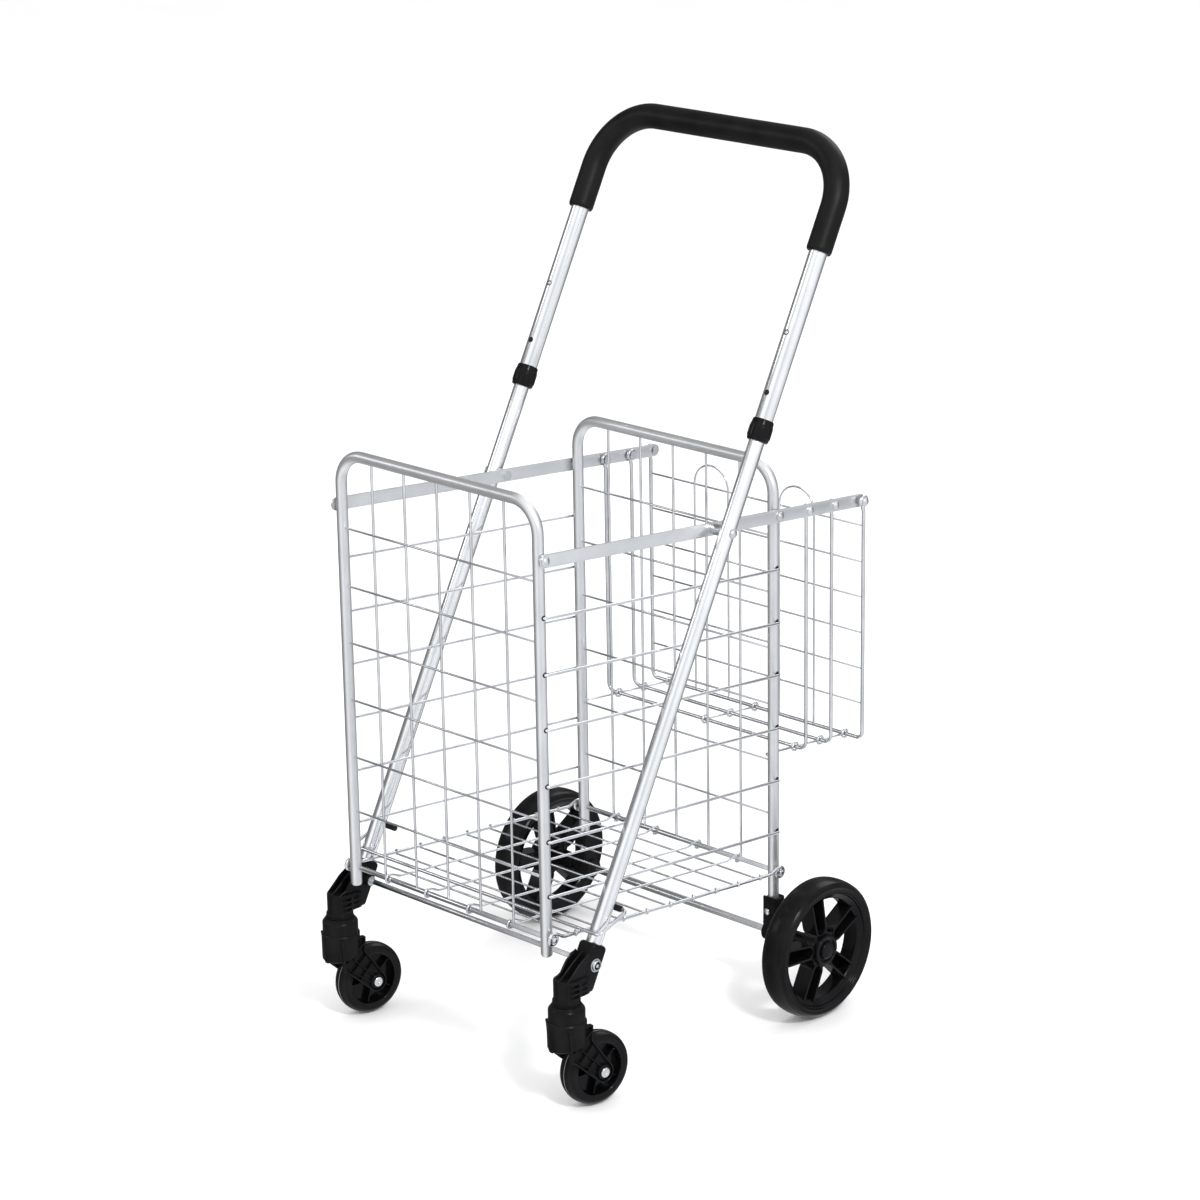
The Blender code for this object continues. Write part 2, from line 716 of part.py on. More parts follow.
def socket(name, side):
    x = side * HANDLE_X
    tilt = Matrix.Rotation(-HANDLE_TILT, 3, "X")
    middle = on_handle((SOCKET_TOP_S - 0.505) / 2, x=x)
    sleeve = block((0.0244, 0.0250, SOCKET_TOP_S + 0.505), middle, 0.003, tilt)
    shoulder = block((0.0320, 0.0560, 0.0250), (x, SWIVEL_Y + 0.0085, 0.1490), 0.003)
    neck = swept([[(x, SWIVEL_Y, BARREL_TOP_Z + GAP), (x, SWIVEL_Y, 0.145)]], 0.0135, 6)
    gusset = block((0.006, 0.024, 0.026), (x, SWIVEL_Y + 0.012, 0.1700), 0.001, tilt)
    tube_bore = swept([[on_handle(TUBE_FOOT_S - GAP, x=x), on_handle(-0.44, x=x)]], 0.0086, 4)
    stem_bore = swept([[(x, SWIVEL_Y, 0.120), (x, SWIVEL_Y, 0.1500)]], 0.0052, 4)
    inner = x - side * 0.0130
    rod_bore = across([(inner, CROSS_ROD_Y, CROSS_ROD_Z)], 0.0034, 0.0043)
    return part(
        name,
        shoulder,
        BLACK_PLASTIC,
        HANDLE_ORIGIN,
        adds=[sleeve, neck, gusset],
        cuts=[tube_bore, stem_bore, rod_bore],
    )


socket("caster_socket_right", 1)
socket("caster_socket_left", -1)
cross_half = HANDLE_X - 0.0130 + 0.0040
part(
    "caster_cross_rod",
    swept(
        [[(-cross_half, CROSS_ROD_Y, CROSS_ROD_Z), (cross_half, CROSS_ROD_Y, CROSS_ROD_Z)]],
        0.003,
        4,
    ),
    WIRE_ZINC,
    HANDLE_ORIGIN,
)


# ================================================================ casters
def placed_caster(mesh, side):
    """Turns a solid made round the swivel axis into place, at the caster's resting yaw."""
    mesh.transform(
        Matrix.Translation((side * HANDLE_X, SWIVEL_Y, 0.0)) @ Matrix.Rotation(CASTER_YAW, 4, "Z")
    )
    return mesh


def caster_fork(name, side):
    barrel = moved(
        lathe(
            [
                (0.0790, 0.0),
                (0.0790, 0.0205),
                (0.0810, BARREL_R),
                (0.1210, BARREL_R),
                (0.1255, 0.0200),
                (BARREL_TOP_Z, 0.0170),
                (BARREL_TOP_Z, 0.0046),
                (0.1497, 0.0046),
                (0.1497, 0.0),
            ],
            18,
        ),
        Matrix.Rotation(-math.pi / 2, 4, "Y"),
    )
    outline = [(-0.0115, 0.1000), (-0.0085, 0.0690)]
    for step in range(7):
        angle = math.radians(232 + 172 * step / 6)
        outline.append(
            (CASTER_TRAIL + 0.0095 * math.cos(angle), CASTER_R + 0.0095 * math.sin(angle))
        )
    outline += [(0.0190, 0.0860), (0.0190, 0.1000)]
    right_cheek = plate(outline, 0.0130, 0.0190)
    left_cheek = plate(outline, -0.0190, -0.0130)
    axle = across([(0.0, CASTER_TRAIL, CASTER_R)], 0.0035, 0.0215)
    room = moved(
        lathe(
            [(-0.0136, 0.0), (-0.0136, 0.0462), (0.0136, 0.0462), (0.0136, 0.0)], 28
        ),
        Matrix.Translation((0.0, CASTER_TRAIL, CASTER_R)),
    )
    return part(
        name,
        placed_caster(barrel, side),
        BLACK_PLASTIC,
        (side * HANDLE_X, SWIVEL_Y, BARREL_TOP_Z),
        adds=[
            placed_caster(right_cheek, side),
            placed_caster(left_cheek, side),
        ],
        cuts=[placed_caster(room, side)],
        pins=[placed_caster(axle, side)],
    )


def caster_wheel(name, side):
    half = CASTER_HALF_WIDTH
    rim = [
        (-half, CASTER_R - 0.0110),
        (half, CASTER_R - 0.0110),
        (half, CASTER_R - 0.0035),
        (half - 0.0040, CASTER_R),
        (-half + 0.0040, CASTER_R),
        (-half, CASTER_R - 0.0035),
    ]
    hub = [(-half, 0.0040), (half, 0.0040), (half, 0.0085), (-half, 0.0085)]
    spokes = []
    for count in range(5):
        turn = Matrix.Rotation(math.tau * count / 5, 4, "X")
        spokes.append(moved(block((0.010, 0.0045, 0.0260), (0, 0, 0.0203)), turn))
    placing = Matrix.Translation((0.0, CASTER_TRAIL, CASTER_R))
    body = moved(joined(lathe(rim, 28, math.pi), lathe(hub, 14)), placing)
    arms = moved(joined(*spokes), placing)
    centre = placed_caster_point(side, (0.0, CASTER_TRAIL, CASTER_R))
    return part(
        name, placed_caster(body, side), WHEEL_PLASTIC, centre, adds=[placed_caster(arms, side)]
    )


def placed_caster_point(side, place):
    turned = Matrix.Rotation(CASTER_YAW, 3, "Z") @ Vector(place)
    return tuple(turned + Vector((side * HANDLE_X, SWIVEL_Y, 0.0)))


for side, label in ((1, "right"), (-1, "left")):
    caster_fork(f"caster_fork_{label}", side)
    caster_wheel(f"caster_wheel_{label}", side)


# ================================================================ rear wheels
def bracket(name, side):
    x = side * LEG_X
    body = block((0.0190, 0.0182, 0.0520), (x, REAR_Y + 0.0006, 0.1042), 0.002)
    boss = moved(
        lathe([(-0.0130, 0.0), (-0.0130, 0.0114), (0.0130, 0.0114), (0.0130, 0.0)], 28),
        Matrix.Translation((x, AXLE_Y, WHEEL_R)),
    )
    leg_bore = swept(
        [[(x, REAR_Y, REAR_FOOT_Z - GAP), (x, REAR_Y, 0.140)]], 0.0071, 4
    )
    axle_bore = across([(x, AXLE_Y, WHEEL_R)], 0.0045, 0.020)
    return part(
        name, body, BLACK_PLASTIC, PIVOT_REAR, adds=[boss], cuts=[leg_bore, axle_bore]
    )


def rear_wheel(name, side):
    hub = [
        (0.2305, 0.0),
        (0.2305, 0.0045),
        (0.1715, 0.0045),
        (0.1715, 0.0100),
        (0.2080, 0.0110),
        (0.2100, 0.0180),
        (0.2250, 0.0180),
        (0.2262, 0.0165),
        (0.2262, 0.0110),
        (0.2335, 0.0110),
        (0.2365, 0.0085),
        (0.2365, 0.0),
    ]
    rim = [
        (0.2015, 0.0727),
        (0.2345, 0.0727),
        (0.2345, 0.0705),
        (0.2250, 0.0640),
        (0.2110, 0.0640),
        (0.2015, 0.0705),
    ]
    arms = []
    for count in range(5):
        turn = Matrix.Rotation(math.tau * count / 5, 4, "X")
        for offset in (-0.0062, 0.0062):
            arm = block((0.0090, 0.0042, 0.0510), (WHEEL_MID_X, offset, 0.0410))
            arms.append(moved(arm, turn))
        web = block((0.0090, 0.0150, 0.0042), (WHEEL_MID_X, 0.0, 0.0240))
        arms.append(moved(web, turn))
    place = Matrix.Translation((0.0, AXLE_Y, WHEEL_R))
    body = moved(joined(lathe(rim, 36), lathe(hub, 18)), place)
    spokes = []
    for arm in arms:
        spokes.append(moved(arm, place))
    outer = body
    if side < 0:
        for mesh in [outer] + spokes:
            mesh.transform(Matrix.Diagonal((-1.0, 1.0, 1.0, 1.0)))
            mesh.flip_normals()
    bars = joined(*(spokes[0::3] + spokes[1::3]))
    webs = joined(*spokes[2::3])
    return part(name, outer, WHEEL_PLASTIC, (0.0, AXLE_Y, WHEEL_R), adds=[bars, webs])


def tyre(name, side):
    middle = WHEEL_MID_X
    outline = [
        (middle - 0.0175, TYRE_SEAT_R),
        (middle + 0.0175, TYRE_SEAT_R),
        (middle + 0.0180, 0.0765),
        (middle + 0.0140, 0.0812),
        (middle, WHEEL_R),
        (middle - 0.0140, 0.0812),
        (middle - 0.0180, 0.0765),
    ]
    mesh = lathe(outline, 36, math.pi)
    if side < 0:
        mesh.transform(Matrix.Diagonal((-1.0, 1.0, 1.0, 1.0)))
        mesh.flip_normals()
    mesh.transform(Matrix.Translation((0.0, AXLE_Y, WHEEL_R)))
    return part(name, mesh, TYRE_RUBBER, (0.0, AXLE_Y, WHEEL_R))


for side, label in ((1, "right"), (-1, "left")):
    bracket(f"rear_bracket_{label}", side)
    rear_wheel(f"rear_wheel_{label}", side)
    tyre(f"rear_tyre_{label}", side)
part(
    "rear_axle",
    swept([[(-0.2300, AXLE_Y, WHEEL_R), (0.2300, AXLE_Y, WHEEL_R)]], AXLE_R, 4),
    BOLT_ZINC,
    PIVOT_REAR,
)

# ================================================================ latch bail
bail_path = rounded(
    [
        (-HANDLE_X + 0.0060, BAIL_TIP_Y, BAIL_TIP_Z),
        (-BAIL_ARM_X, BAIL_TIP_Y, BAIL_TIP_Z),
        (-BAIL_ARM_X, BAIL_Y, BAIL_Z),
        (BAIL_ARM_X, BAIL_Y, BAIL_Z),
        (BAIL_ARM_X, BAIL_TIP_Y, BAIL_TIP_Z),
        (HANDLE_X - 0.0060, BAIL_TIP_Y, BAIL_TIP_Z),
    ],
    0.006,
    5,
)
tips = []
for side in (-1, 1):
    tips.append(
        [
            Vector((side * 0.1720, BAIL_TIP_Y, BAIL_TIP_Z)),
            Vector((side * 0.1910, BAIL_TIP_Y, BAIL_TIP_Z)),
        ]
    )
part(
    "latch_bail",
    swept([bail_path], BAIL_R),
    WIRE_ZINC,
    HANDLE_ORIGIN,
    adds=[swept(tips, BAIL_TIP_R, 4)],
)
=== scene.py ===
"""Look of the folding shopping trolley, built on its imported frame."""

import json
import math

import bmesh
import bpy
from mathutils import Matrix
from mathutils import Vector


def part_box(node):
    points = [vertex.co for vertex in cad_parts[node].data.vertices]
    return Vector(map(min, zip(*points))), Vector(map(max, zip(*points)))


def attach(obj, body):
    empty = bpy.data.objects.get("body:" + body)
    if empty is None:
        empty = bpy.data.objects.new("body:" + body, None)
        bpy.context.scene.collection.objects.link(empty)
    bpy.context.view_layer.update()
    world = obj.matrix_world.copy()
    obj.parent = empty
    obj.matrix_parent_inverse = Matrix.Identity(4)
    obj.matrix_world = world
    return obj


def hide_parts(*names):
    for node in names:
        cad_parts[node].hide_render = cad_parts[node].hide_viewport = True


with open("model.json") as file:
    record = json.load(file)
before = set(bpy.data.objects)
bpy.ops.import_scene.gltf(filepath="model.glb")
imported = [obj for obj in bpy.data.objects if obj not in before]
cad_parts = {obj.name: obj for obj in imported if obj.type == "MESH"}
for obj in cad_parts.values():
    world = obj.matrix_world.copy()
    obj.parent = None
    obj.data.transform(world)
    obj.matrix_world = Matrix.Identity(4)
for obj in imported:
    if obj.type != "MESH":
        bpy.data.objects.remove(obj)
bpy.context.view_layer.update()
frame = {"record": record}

# ---- places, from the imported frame
joints = {joint["name"]: joint for joint in frame["record"]["behaviour"]["joints"]}


def joint_place(name):
    return Vector(joints[name]["pos_m"])


front_low, front_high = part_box("front_frame_tube")
rear_low, rear_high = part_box("rear_frame_tube")
LEG_R = (front_high.y - front_low.y) / 2
LEG_X = front_high.x - LEG_R
FRONT_Y = (front_low.y + front_high.y) / 2
REAR_Y = (rear_low.y + rear_high.y) / 2
FRONT_FOOT_Z = front_low.z
FRONT_TOP_Z = front_high.z - LEG_R
REAR_FOOT_Z = rear_low.z
REAR_TOP_Z = rear_high.z - LEG_R
FRAME_CORNER_R = 0.035
rod_low, rod_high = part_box("rear_bottom_rod")
ROD_R = (rod_high.z - rod_low.z) / 2
ROD_END_X = rod_high.x
REAR_ROD_Z = (rod_low.z + rod_high.z) / 2
rod_low, rod_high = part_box("front_bottom_rod")
FRONT_ROD_Z = (rod_low.z + rod_high.z) / 2
LINK_DROP = FRONT_ROD_Z - REAR_ROD_Z
LINK_SLOPE = LINK_DROP / (REAR_Y - FRONT_Y)
LINK_ANGLE = math.atan(LINK_SLOPE)
BAR_REAR_LEG_Z = joint_place("fold").z
bar_low, bar_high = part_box("flat_bar_right")
BAR_INNER_X = bar_low.x
BAR_OUTER_X = bar_high.x
BAR_HALF_HEIGHT = 0.0075
PIVOT_Y = joint_place("handle_pivot").y
HOOP_Y = (joint_place("hoop_1_pivot").y, joint_place("hoop_2_pivot").y)
PANEL_Y = joint_place("rear_panel_pivot").y
BASKET_EYE_Z = joint_place("basket_links_pivot").z
SIDE_REAR_Z = [joint_place(f"side_wires_{level}_pivot").z for level in range(1, 7)]
GAP = 0.0003
SIDES = ((1, "right"), (-1, "left"))
X_AXIS, Y_AXIS, Z_AXIS = Matrix.Identity(3)

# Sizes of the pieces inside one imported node.
UPRIGHT_X = (-0.103, -0.0515, 0.0, 0.0515, 0.103)
UPRIGHT_R = 0.0015
RAIL_R = 0.00125
FRONT_RAIL_Z = (0.6063, 0.5385, 0.4715, 0.4035, 0.3348, 0.2689)
SIDE_WIRE_R = 0.00175
SIDE_WIRE_X = 0.1622
WIRE_HOLE_R = 0.0031
FLOOR_WIRE_R = 0.0014
FLOOR_WIRE_X = (-0.098, -0.034, 0.034, 0.098)
FLOOR_EDGE_X = 0.1633
FLOOR_EDGE_R = 0.0020
FLOOR_EDGE_HOOK_R = 0.0060
FLOOR_CROSS_R = 0.00115
FLOOR_CROSS_COUNT = 9
HOOK_R = 0.0048
HOOP_X = 0.158
HOOP_R = 0.0021
PANEL_X = 0.168
PANEL_R = 0.0022
PANEL_RAIL_Z = (0.5518, 0.5078, 0.4650, 0.4213, 0.3772, 0.3341)
PANEL_RAIL_R = 0.0011
LINK_X = 0.1415
LINK_R = 0.0014
LINK_EYE_R = 0.0047
HANDLE_X = 0.1832
HANDLE_TILT = math.radians(27.9)
HANDLE_ALONG = Vector((0.0, math.sin(HANDLE_TILT), math.cos(HANDLE_TILT)))
HANDLE_FRONT = Vector((0.0, -math.cos(HANDLE_TILT), math.sin(HANDLE_TILT)))
LOWER_TUBE_R = 0.0090
UPPER_TUBE_R = 0.0104
LOWER_TUBE_S = (-0.492, 0.300)
SOCKET_TOP_S = -0.4740
SOCKET_FOOT_S = -0.5270
COLLAR_S = (0.1058, 0.1310)
BUTTON_S = (0.160, 0.230)
BUTTON_HOLE_R = 0.0034
GRIP_START_S = 0.3262
HANDLE_TOP_S = 0.4484
HANDLE_CORNER_R = 0.07
COLLAR_R = 0.0130
GRIP_R = 0.0150
BARREL_TOP_Z = joint_place("caster_swivel_right").z
SWIVEL_Y = joint_place("caster_swivel_right").y
WHEEL_R = 0.083
AXLE_Y = joint_place("rear_roll_right").y
WHEEL_MID_X = 0.218
BAIL_R = 0.002
BAIL_Y = -0.2139
BAIL_Z = 0.2015
BAIL_ARM_X = 0.198
BAIL_TIP_Y = -0.1699
BAIL_TIP_Z = 0.2165
BAIL_TIP_R = 0.0037


# ---- materials
class Graph:
    """A small helper for wiring one material's nodes."""

    def __init__(self, name):
        self.material = bpy.data.materials.new(name)
        self.material.use_nodes = True
        self.nodes = self.material.node_tree.nodes
        self.links = self.material.node_tree.links
        self.shader = self.nodes["Principled BSDF"]
        self.where = self.nodes.new("ShaderNodeTexCoord").outputs["Object"]

    def noise(self, scale, detail=4.0, rough=0.55, stretch=None):
        where = self.where
        if stretch is not None:
            mapping = self.nodes.new("ShaderNodeMapping")
            mapping.inputs["Scale"].default_value = stretch
            self.links.new(where, mapping.inputs["Vector"])
            where = mapping.outputs["Vector"]
        node = self.nodes.new("ShaderNodeTexNoise")
        node.inputs["Scale"].default_value = scale
        node.inputs["Detail"].default_value = detail
        node.inputs["Roughness"].default_value = rough
        self.links.new(where, node.inputs["Vector"])
        return node.outputs["Fac"]

    def ramp(self, value, low, high, start=0.35, end=0.65):
        node = self.nodes.new("ShaderNodeMapRange")
        node.inputs["From Min"].default_value = start
        node.inputs["From Max"].default_value = end
        node.inputs["To Min"].default_value = low
        node.inputs["To Max"].default_value = high
        self.links.new(value, node.inputs["Value"])
        return node.outputs["Result"]

    def mix(self, value, dark, light):
        node = self.nodes.new("ShaderNodeMix")
        node.data_type = "RGBA"
        node.inputs["A"].default_value = (*dark, 1.0)
        node.inputs["B"].default_value = (*light, 1.0)
        self.links.new(value, node.inputs["Factor"])
        return node.outputs["Result"]

    def set(self, socket, value):
        if hasattr(value, "node"):
            self.links.new(value, self.shader.inputs[socket])
        else:
            self.shader.inputs[socket].default_value = value

    def bump(self, value, strength, distance=0.0002):
        node = self.nodes.new("ShaderNodeBump")
        node.inputs["Strength"].default_value = strength
        node.inputs["Distance"].default_value = distance
        self.links.new(value, node.inputs["Height"])
        self.links.new(node.outputs["Normal"], self.shader.inputs["Normal"])


def metal(name, dark, light, rough_low, rough_high, grain, metallic=1.0, bump=0.05):
    graph = Graph(name)
    broad = graph.noise(22.0)
    fine = graph.noise(grain, 6.0, 0.6)
    graph.set("Base Color", graph.mix(graph.ramp(broad, 0.0, 1.0), dark, light))
    graph.set("Roughness", graph.ramp(fine, rough_low, rough_high))
    graph.set("Metallic", metallic)
    graph.bump(fine, bump, 0.0001)
    return graph.material


def plastic(name, dark, light, rough_low, rough_high, grain, bump=0.12, coat=0.0, shine=0.16):
    graph = Graph(name)
    broad = graph.noise(35.0)
    fine = graph.noise(grain, 5.0, 0.6)
    graph.set("Base Color", graph.mix(graph.ramp(broad, 0.0, 1.0), dark, light))
    graph.set("Roughness", graph.ramp(broad, rough_low, rough_high))
    graph.set("Coat Weight", coat)
    graph.set("Specular IOR Level", shine)
    graph.bump(fine, bump, 0.00012)
    return graph.material


FRAME_SILVER = metal(
    "satin_silver_paint", (0.66, 0.665, 0.675), (0.73, 0.735, 0.745), 0.34, 0.44, 2600.0, 0.92, 0.08
)
HANDLE_SILVER = metal(
    "drawn_aluminium", (0.80, 0.81, 0.825), (0.88, 0.885, 0.895), 0.18, 0.26, 900.0, 1.0, 0.05
)
WIRE_ZINC = metal(
    "bright_zinc_wire", (0.60, 0.61, 0.63), (0.74, 0.75, 0.77), 0.12, 0.22, 1500.0, 1.0, 0.05
)
BAR_SILVER = metal(
    "silver_bar_paint", (0.68, 0.685, 0.69), (0.75, 0.755, 0.76), 0.26, 0.38, 2200.0, 0.88, 0.06
)
BOLT_ZINC = metal("zinc_bolt", (0.56, 0.57, 0.58), (0.70, 0.71, 0.71), 0.20, 0.32, 1800.0)
# Painted shadow: a near-black colour for discs that stand in for the shade inside holes and recesses.
PAINTED_HOLE_SHADOW = plastic("hole_shadow", (0.010, 0.010, 0.011), (0.02, 0.02, 0.02), 0.7, 0.8, 900.0)
BLACK_GLOSS = plastic(
    "moulded_gloss_black", (0.003, 0.003, 0.0032), (0.005, 0.005, 0.0054), 0.16, 0.24, 1800.0, 0.05,
    0.0, 0.14
)
BLACK_PLASTIC = plastic(
    "moulded_black", (0.0045, 0.0045, 0.005), (0.0075, 0.0075, 0.008), 0.26, 0.36, 2600.0, 0.14, 0.0,
    0.08
)
WHEEL_PLASTIC = plastic(
    "wheel_black", (0.003, 0.003, 0.0034), (0.005, 0.005, 0.0056), 0.13, 0.19, 2200.0, 0.05, 0.0, 0.13
)
TYRE_RUBBER = plastic(
    "tyre_rubber", (0.0045, 0.0045, 0.005), (0.0075, 0.0075, 0.008), 0.19, 0.26, 3000.0, 0.08, 0.0,
    0.10
)
VINYL = plastic("vinyl_tip", (0.010, 0.010, 0.011), (0.016, 0.016, 0.017), 0.30, 0.40, 2000.0)
SEAM = plastic("mould_line", (0.20, 0.195, 0.185), (0.26, 0.255, 0.245), 0.5, 0.6, 1500.0)


def foam_material():
    """Closed-cell foam: matt and finely pitted."""
    graph = Graph("grip_foam")
    cells = graph.noise(4200.0, 3.0, 0.7)
    broad = graph.noise(30.0)
    graph.set("Base Color", graph.mix(graph.ramp(broad, 0.0, 1.0), (0.0035,) * 3, (0.0065,) * 3))
    graph.set("Roughness", graph.ramp(cells, 0.32, 0.42))
    graph.set("Specular IOR Level", 0.14)
    graph.bump(cells, 0.35, 0.0003)
    return graph.material


GRIP_FOAM = foam_material()


# ---- paths
def rounded(corners, radius, steps=12):
    places = [Vector(corner) for corner in corners]
    path = [places[0]]
    for before, corner, after in zip(places, places[1:], places[2:]):
        back = (before - corner).normalized()
        ahead = (after - corner).normalized()
        half = back.angle(ahead) / 2
        start = corner + back * radius / math.tan(half)
        end = corner + ahead * radius / math.tan(half)
        centre = corner + (back + ahead).normalized() * radius / math.sin(half)
        axis = (start - centre).cross(end - centre).normalized()
        for step in range(steps + 1):
            turn = Matrix.Rotation((math.pi - 2 * half) * step / steps, 3, axis)
            path.append(centre + turn @ (start - centre))
    path.append(places[-1])
    return path


def arc(a, b, radius, start, end, count):
    """Points of a plane arc round (a, b); the angles are in degrees."""
    angles = [math.radians(start + (end - start) * step / count) for step in range(count + 1)]
    return [(a + radius * math.cos(angle), b + radius * math.sin(angle)) for angle in angles]


def arc_yz(x, y, z, radius, start, end, count):
    return [Vector((x, *place)) for place in arc(y, z, radius, start, end, count)]


def mirrored(path):
    return [Vector((-place[0], place[1], place[2])) for place in path]


def on_handle(s, out=0.0, x=HANDLE_X):
    pivot_z = BAR_REAR_LEG_Z + (REAR_Y - PIVOT_Y) * LINK_SLOPE
    return Vector((x, PIVOT_Y, pivot_z)) + HANDLE_ALONG * s + HANDLE_FRONT * out


def link_z(rear_leg_z, y):
    return rear_leg_z + (REAR_Y - y) * LINK_SLOPE


# ---- meshes
def finish_mesh(work, angle=32.0):
    bmesh.ops.remove_doubles(work, verts=work.verts, dist=0.0000005)
    bmesh.ops.recalc_face_normals(work, faces=work.faces)
    mesh = bpy.data.meshes.new("piece")
    work.to_mesh(mesh)
    work.free()
    mesh.shade_smooth()
    mesh.set_sharp_from_angle(angle=math.radians(angle))
    return mesh


def bridge(work, rings, closed=False, caps=(0, -1)):
    """Faces from each ring of points to the next, and a cap on the rings listed in caps."""
    following = rings[1:] + rings[:1] if closed else rings[1:]
    for one, two in zip(rings, following):
        for step in range(len(one)):
            after = (step + 1) % len(one)
            work.faces.new((one[step], one[after], two[after], two[step]))
    for end in caps:
        work.faces.new(rings[end])


def add_sweep(work, path, radius, sides=14, closed=False, ends=0.35):
    """A round rod along a path; its open ends are softened by ends times the radius."""
    places = [Vector(place) for place in path]
    radii = [radius] * len(places)
    if not closed and ends > 0:
        first = (places[1] - places[0]).normalized() * radius * ends
        last = (places[-2] - places[-1]).normalized() * radius * ends
        places = [places[0], places[0] + first * 0.35, places[0] + first] + places[1:]
        radii = [radius * (1 - ends), radius * (1 - ends * 0.3), radius] + radii[1:]
        places = places[:-1] + [places[-1] + last, places[-1] + last * 0.35, places[-1]]
        radii = radii[:-1] + [radius, radius * (1 - ends * 0.3), radius * (1 - ends)]
    count = len(places)
    rings = []
    normal = None
    tangent_before = None
    for index, place in enumerate(places):
        if closed:
            tangent = places[(index + 1) % count] - places[index - 1]
        else:
            tangent = places[min(index + 1, count - 1)] - places[max(index - 1, 0)]
        tangent.normalize()
        if normal is None:
            normal = tangent.orthogonal().normalized()
        else:
            normal = tangent_before.rotation_difference(tangent) @ normal
        tangent_before = tangent
        side = tangent.cross(normal)
        ring = []
        for step in range(sides):
            angle = math.tau * step / sides
            out = normal * math.cos(angle) + side * math.sin(angle)
            ring.append(work.verts.new(place + out * radii[index]))
        rings.append(ring)
    bridge(work, rings, closed, () if closed else (0, -1))


def rod_across(half, y, z, radius, sides):
    return rods([[(-half, y, z), (half, y, z)]], radius, sides)


def rods(paths, radius, sides=14, closed=False, ends=0.35):
    work = bmesh.new()
    for path in paths:
        add_sweep(work, path, radius, sides, closed, ends)
    return finish_mesh(work)


def lathe(outline, segments=64, angle=32.0):
    """A solid of revolution about X from (x, radius) points; a closed outline gives a ring."""
    work = bmesh.new()
    first = [work.verts.new((x, 0.0, radius)) for x, radius in outline]
    edges = [work.edges.new(pair) for pair in zip(first, first[1:])]
    if outline[0][1] > 0.0:
        edges.append(work.edges.new((first[-1], first[0])))
    bmesh.ops.spin(
        work, geom=first + edges, cent=(0, 0, 0), axis=(1, 0, 0), angle=math.tau, steps=segments,
        use_merge=True
    )
    return finish_mesh(work, angle)


def soft_outline(outline, radius, steps=3):
    """Rounds the inner corners of an (x, radius) outline."""
    points = [Vector((x, r, 0.0)) for x, r in outline]
    made = [points[0]]
    for before, corner, after in zip(points, points[1:], points[2:]):
        reach = min(radius, (before - corner).length * 0.45, (after - corner).length * 0.45)
        start = corner + (before - corner).normalized() * reach
        end = corner + (after - corner).normalized() * reach
        for step in range(steps + 1):
            t = step / steps
            made.append(start * (1 - t) ** 2 + corner * 2 * t * (1 - t) + end * t ** 2)
    made.append(points[-1])
    return [(place.x, place.y) for place in made]


def prism(outline, x0, x1, bevel=0.0004, segments=2):
    """A flat piece between two x planes from an outline of (y, z) points, edges softened."""
    work = bmesh.new()
    face = work.faces.new([work.verts.new((x0, y, z)) for y, z in outline])
    grown = bmesh.ops.extrude_face_region(work, geom=[face])
    moved_verts = [item for item in grown["geom"] if isinstance(item, bmesh.types.BMVert)]
    bmesh.ops.translate(work, verts=moved_verts, vec=(x1 - x0, 0, 0))
    bmesh.ops.recalc_face_normals(work, faces=work.faces)
    if bevel > 0:
        sharp = [edge for edge in work.edges if edge.calc_face_angle(0) > math.radians(35)]
        bmesh.ops.bevel(
            work, geom=sharp, offset=bevel, segments=segments, profile=0.7, affect="EDGES"
        )
    return finish_mesh(work)


def wall(path, thickness, x0, x1, bevel=0.0004):
    """A rib that follows a (y, z) path, this thick, between two x planes."""
    points = [Vector((y, z, 0.0)) for y, z in path]
    left = []
    right = []
    for index, point in enumerate(points):
        before = points[max(index - 1, 0)]
        after = points[min(index + 1, len(points) - 1)]
        along = (after - before).normalized()
        side = Vector((-along.y, along.x, 0.0)) * thickness / 2
        left.append(point + side)
        right.append(point - side)
    outline = [(p.x, p.y) for p in left] + [(p.x, p.y) for p in reversed(right)]
    return prism(outline, x0, x1, bevel, 1)


def block(size, centre, bevel=0.001, turn=None, segments=3):
    work = bmesh.new()
    bmesh.ops.create_cube(work, size=1.0)
    bmesh.ops.scale(work, vec=size, verts=work.verts)
    bmesh.ops.bevel(
        work, geom=list(work.edges), offset=bevel, segments=segments, profile=0.5, affect="EDGES"
    )
    if turn is not None:
        bmesh.ops.rotate(work, verts=work.verts, cent=(0, 0, 0), matrix=turn)
    bmesh.ops.translate(work, verts=work.verts, vec=centre)
    return finish_mesh(work)


def joined(*meshes):
    work = bmesh.new()
    for mesh in meshes:
        work.from_mesh(mesh)
    made = bpy.data.meshes.new("piece")
    work.to_mesh(made)
    work.free()
    return made


def moved(mesh, matrix):
    if mesh.users > 0:
        mesh = mesh.copy()
    mesh.transform(matrix)
    if matrix.determinant() < 0:
        mesh.flip_normals()
    return mesh


MIRROR = Matrix.Diagonal((-1.0, 1.0, 1.0, 1.0))


def shifted(mesh, x, y, z):
    return moved(mesh, Matrix.Translation((x, y, z)))


def sided(mesh, side):
    """The mesh itself on the right side, its mirror image on the left."""
    return moved(mesh, MIRROR) if side < 0 else mesh


def both_sides(half):
    """A whole (x, radius) outline from its half at negative x."""
    return half + [(-x, radius) for x, radius in reversed(half)]


def add_object(name, data):
    made = bpy.data.objects.new(name, data)
    bpy.context.scene.collection.objects.link(made)
    return made


def piece(name, mesh, paint, body, *stands_for):
    made = add_object(name, mesh)
    made.data.materials.clear()
    made.data.materials.append(paint)
    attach(made, body)
    if stands_for:
        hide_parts(*stands_for)
    return made


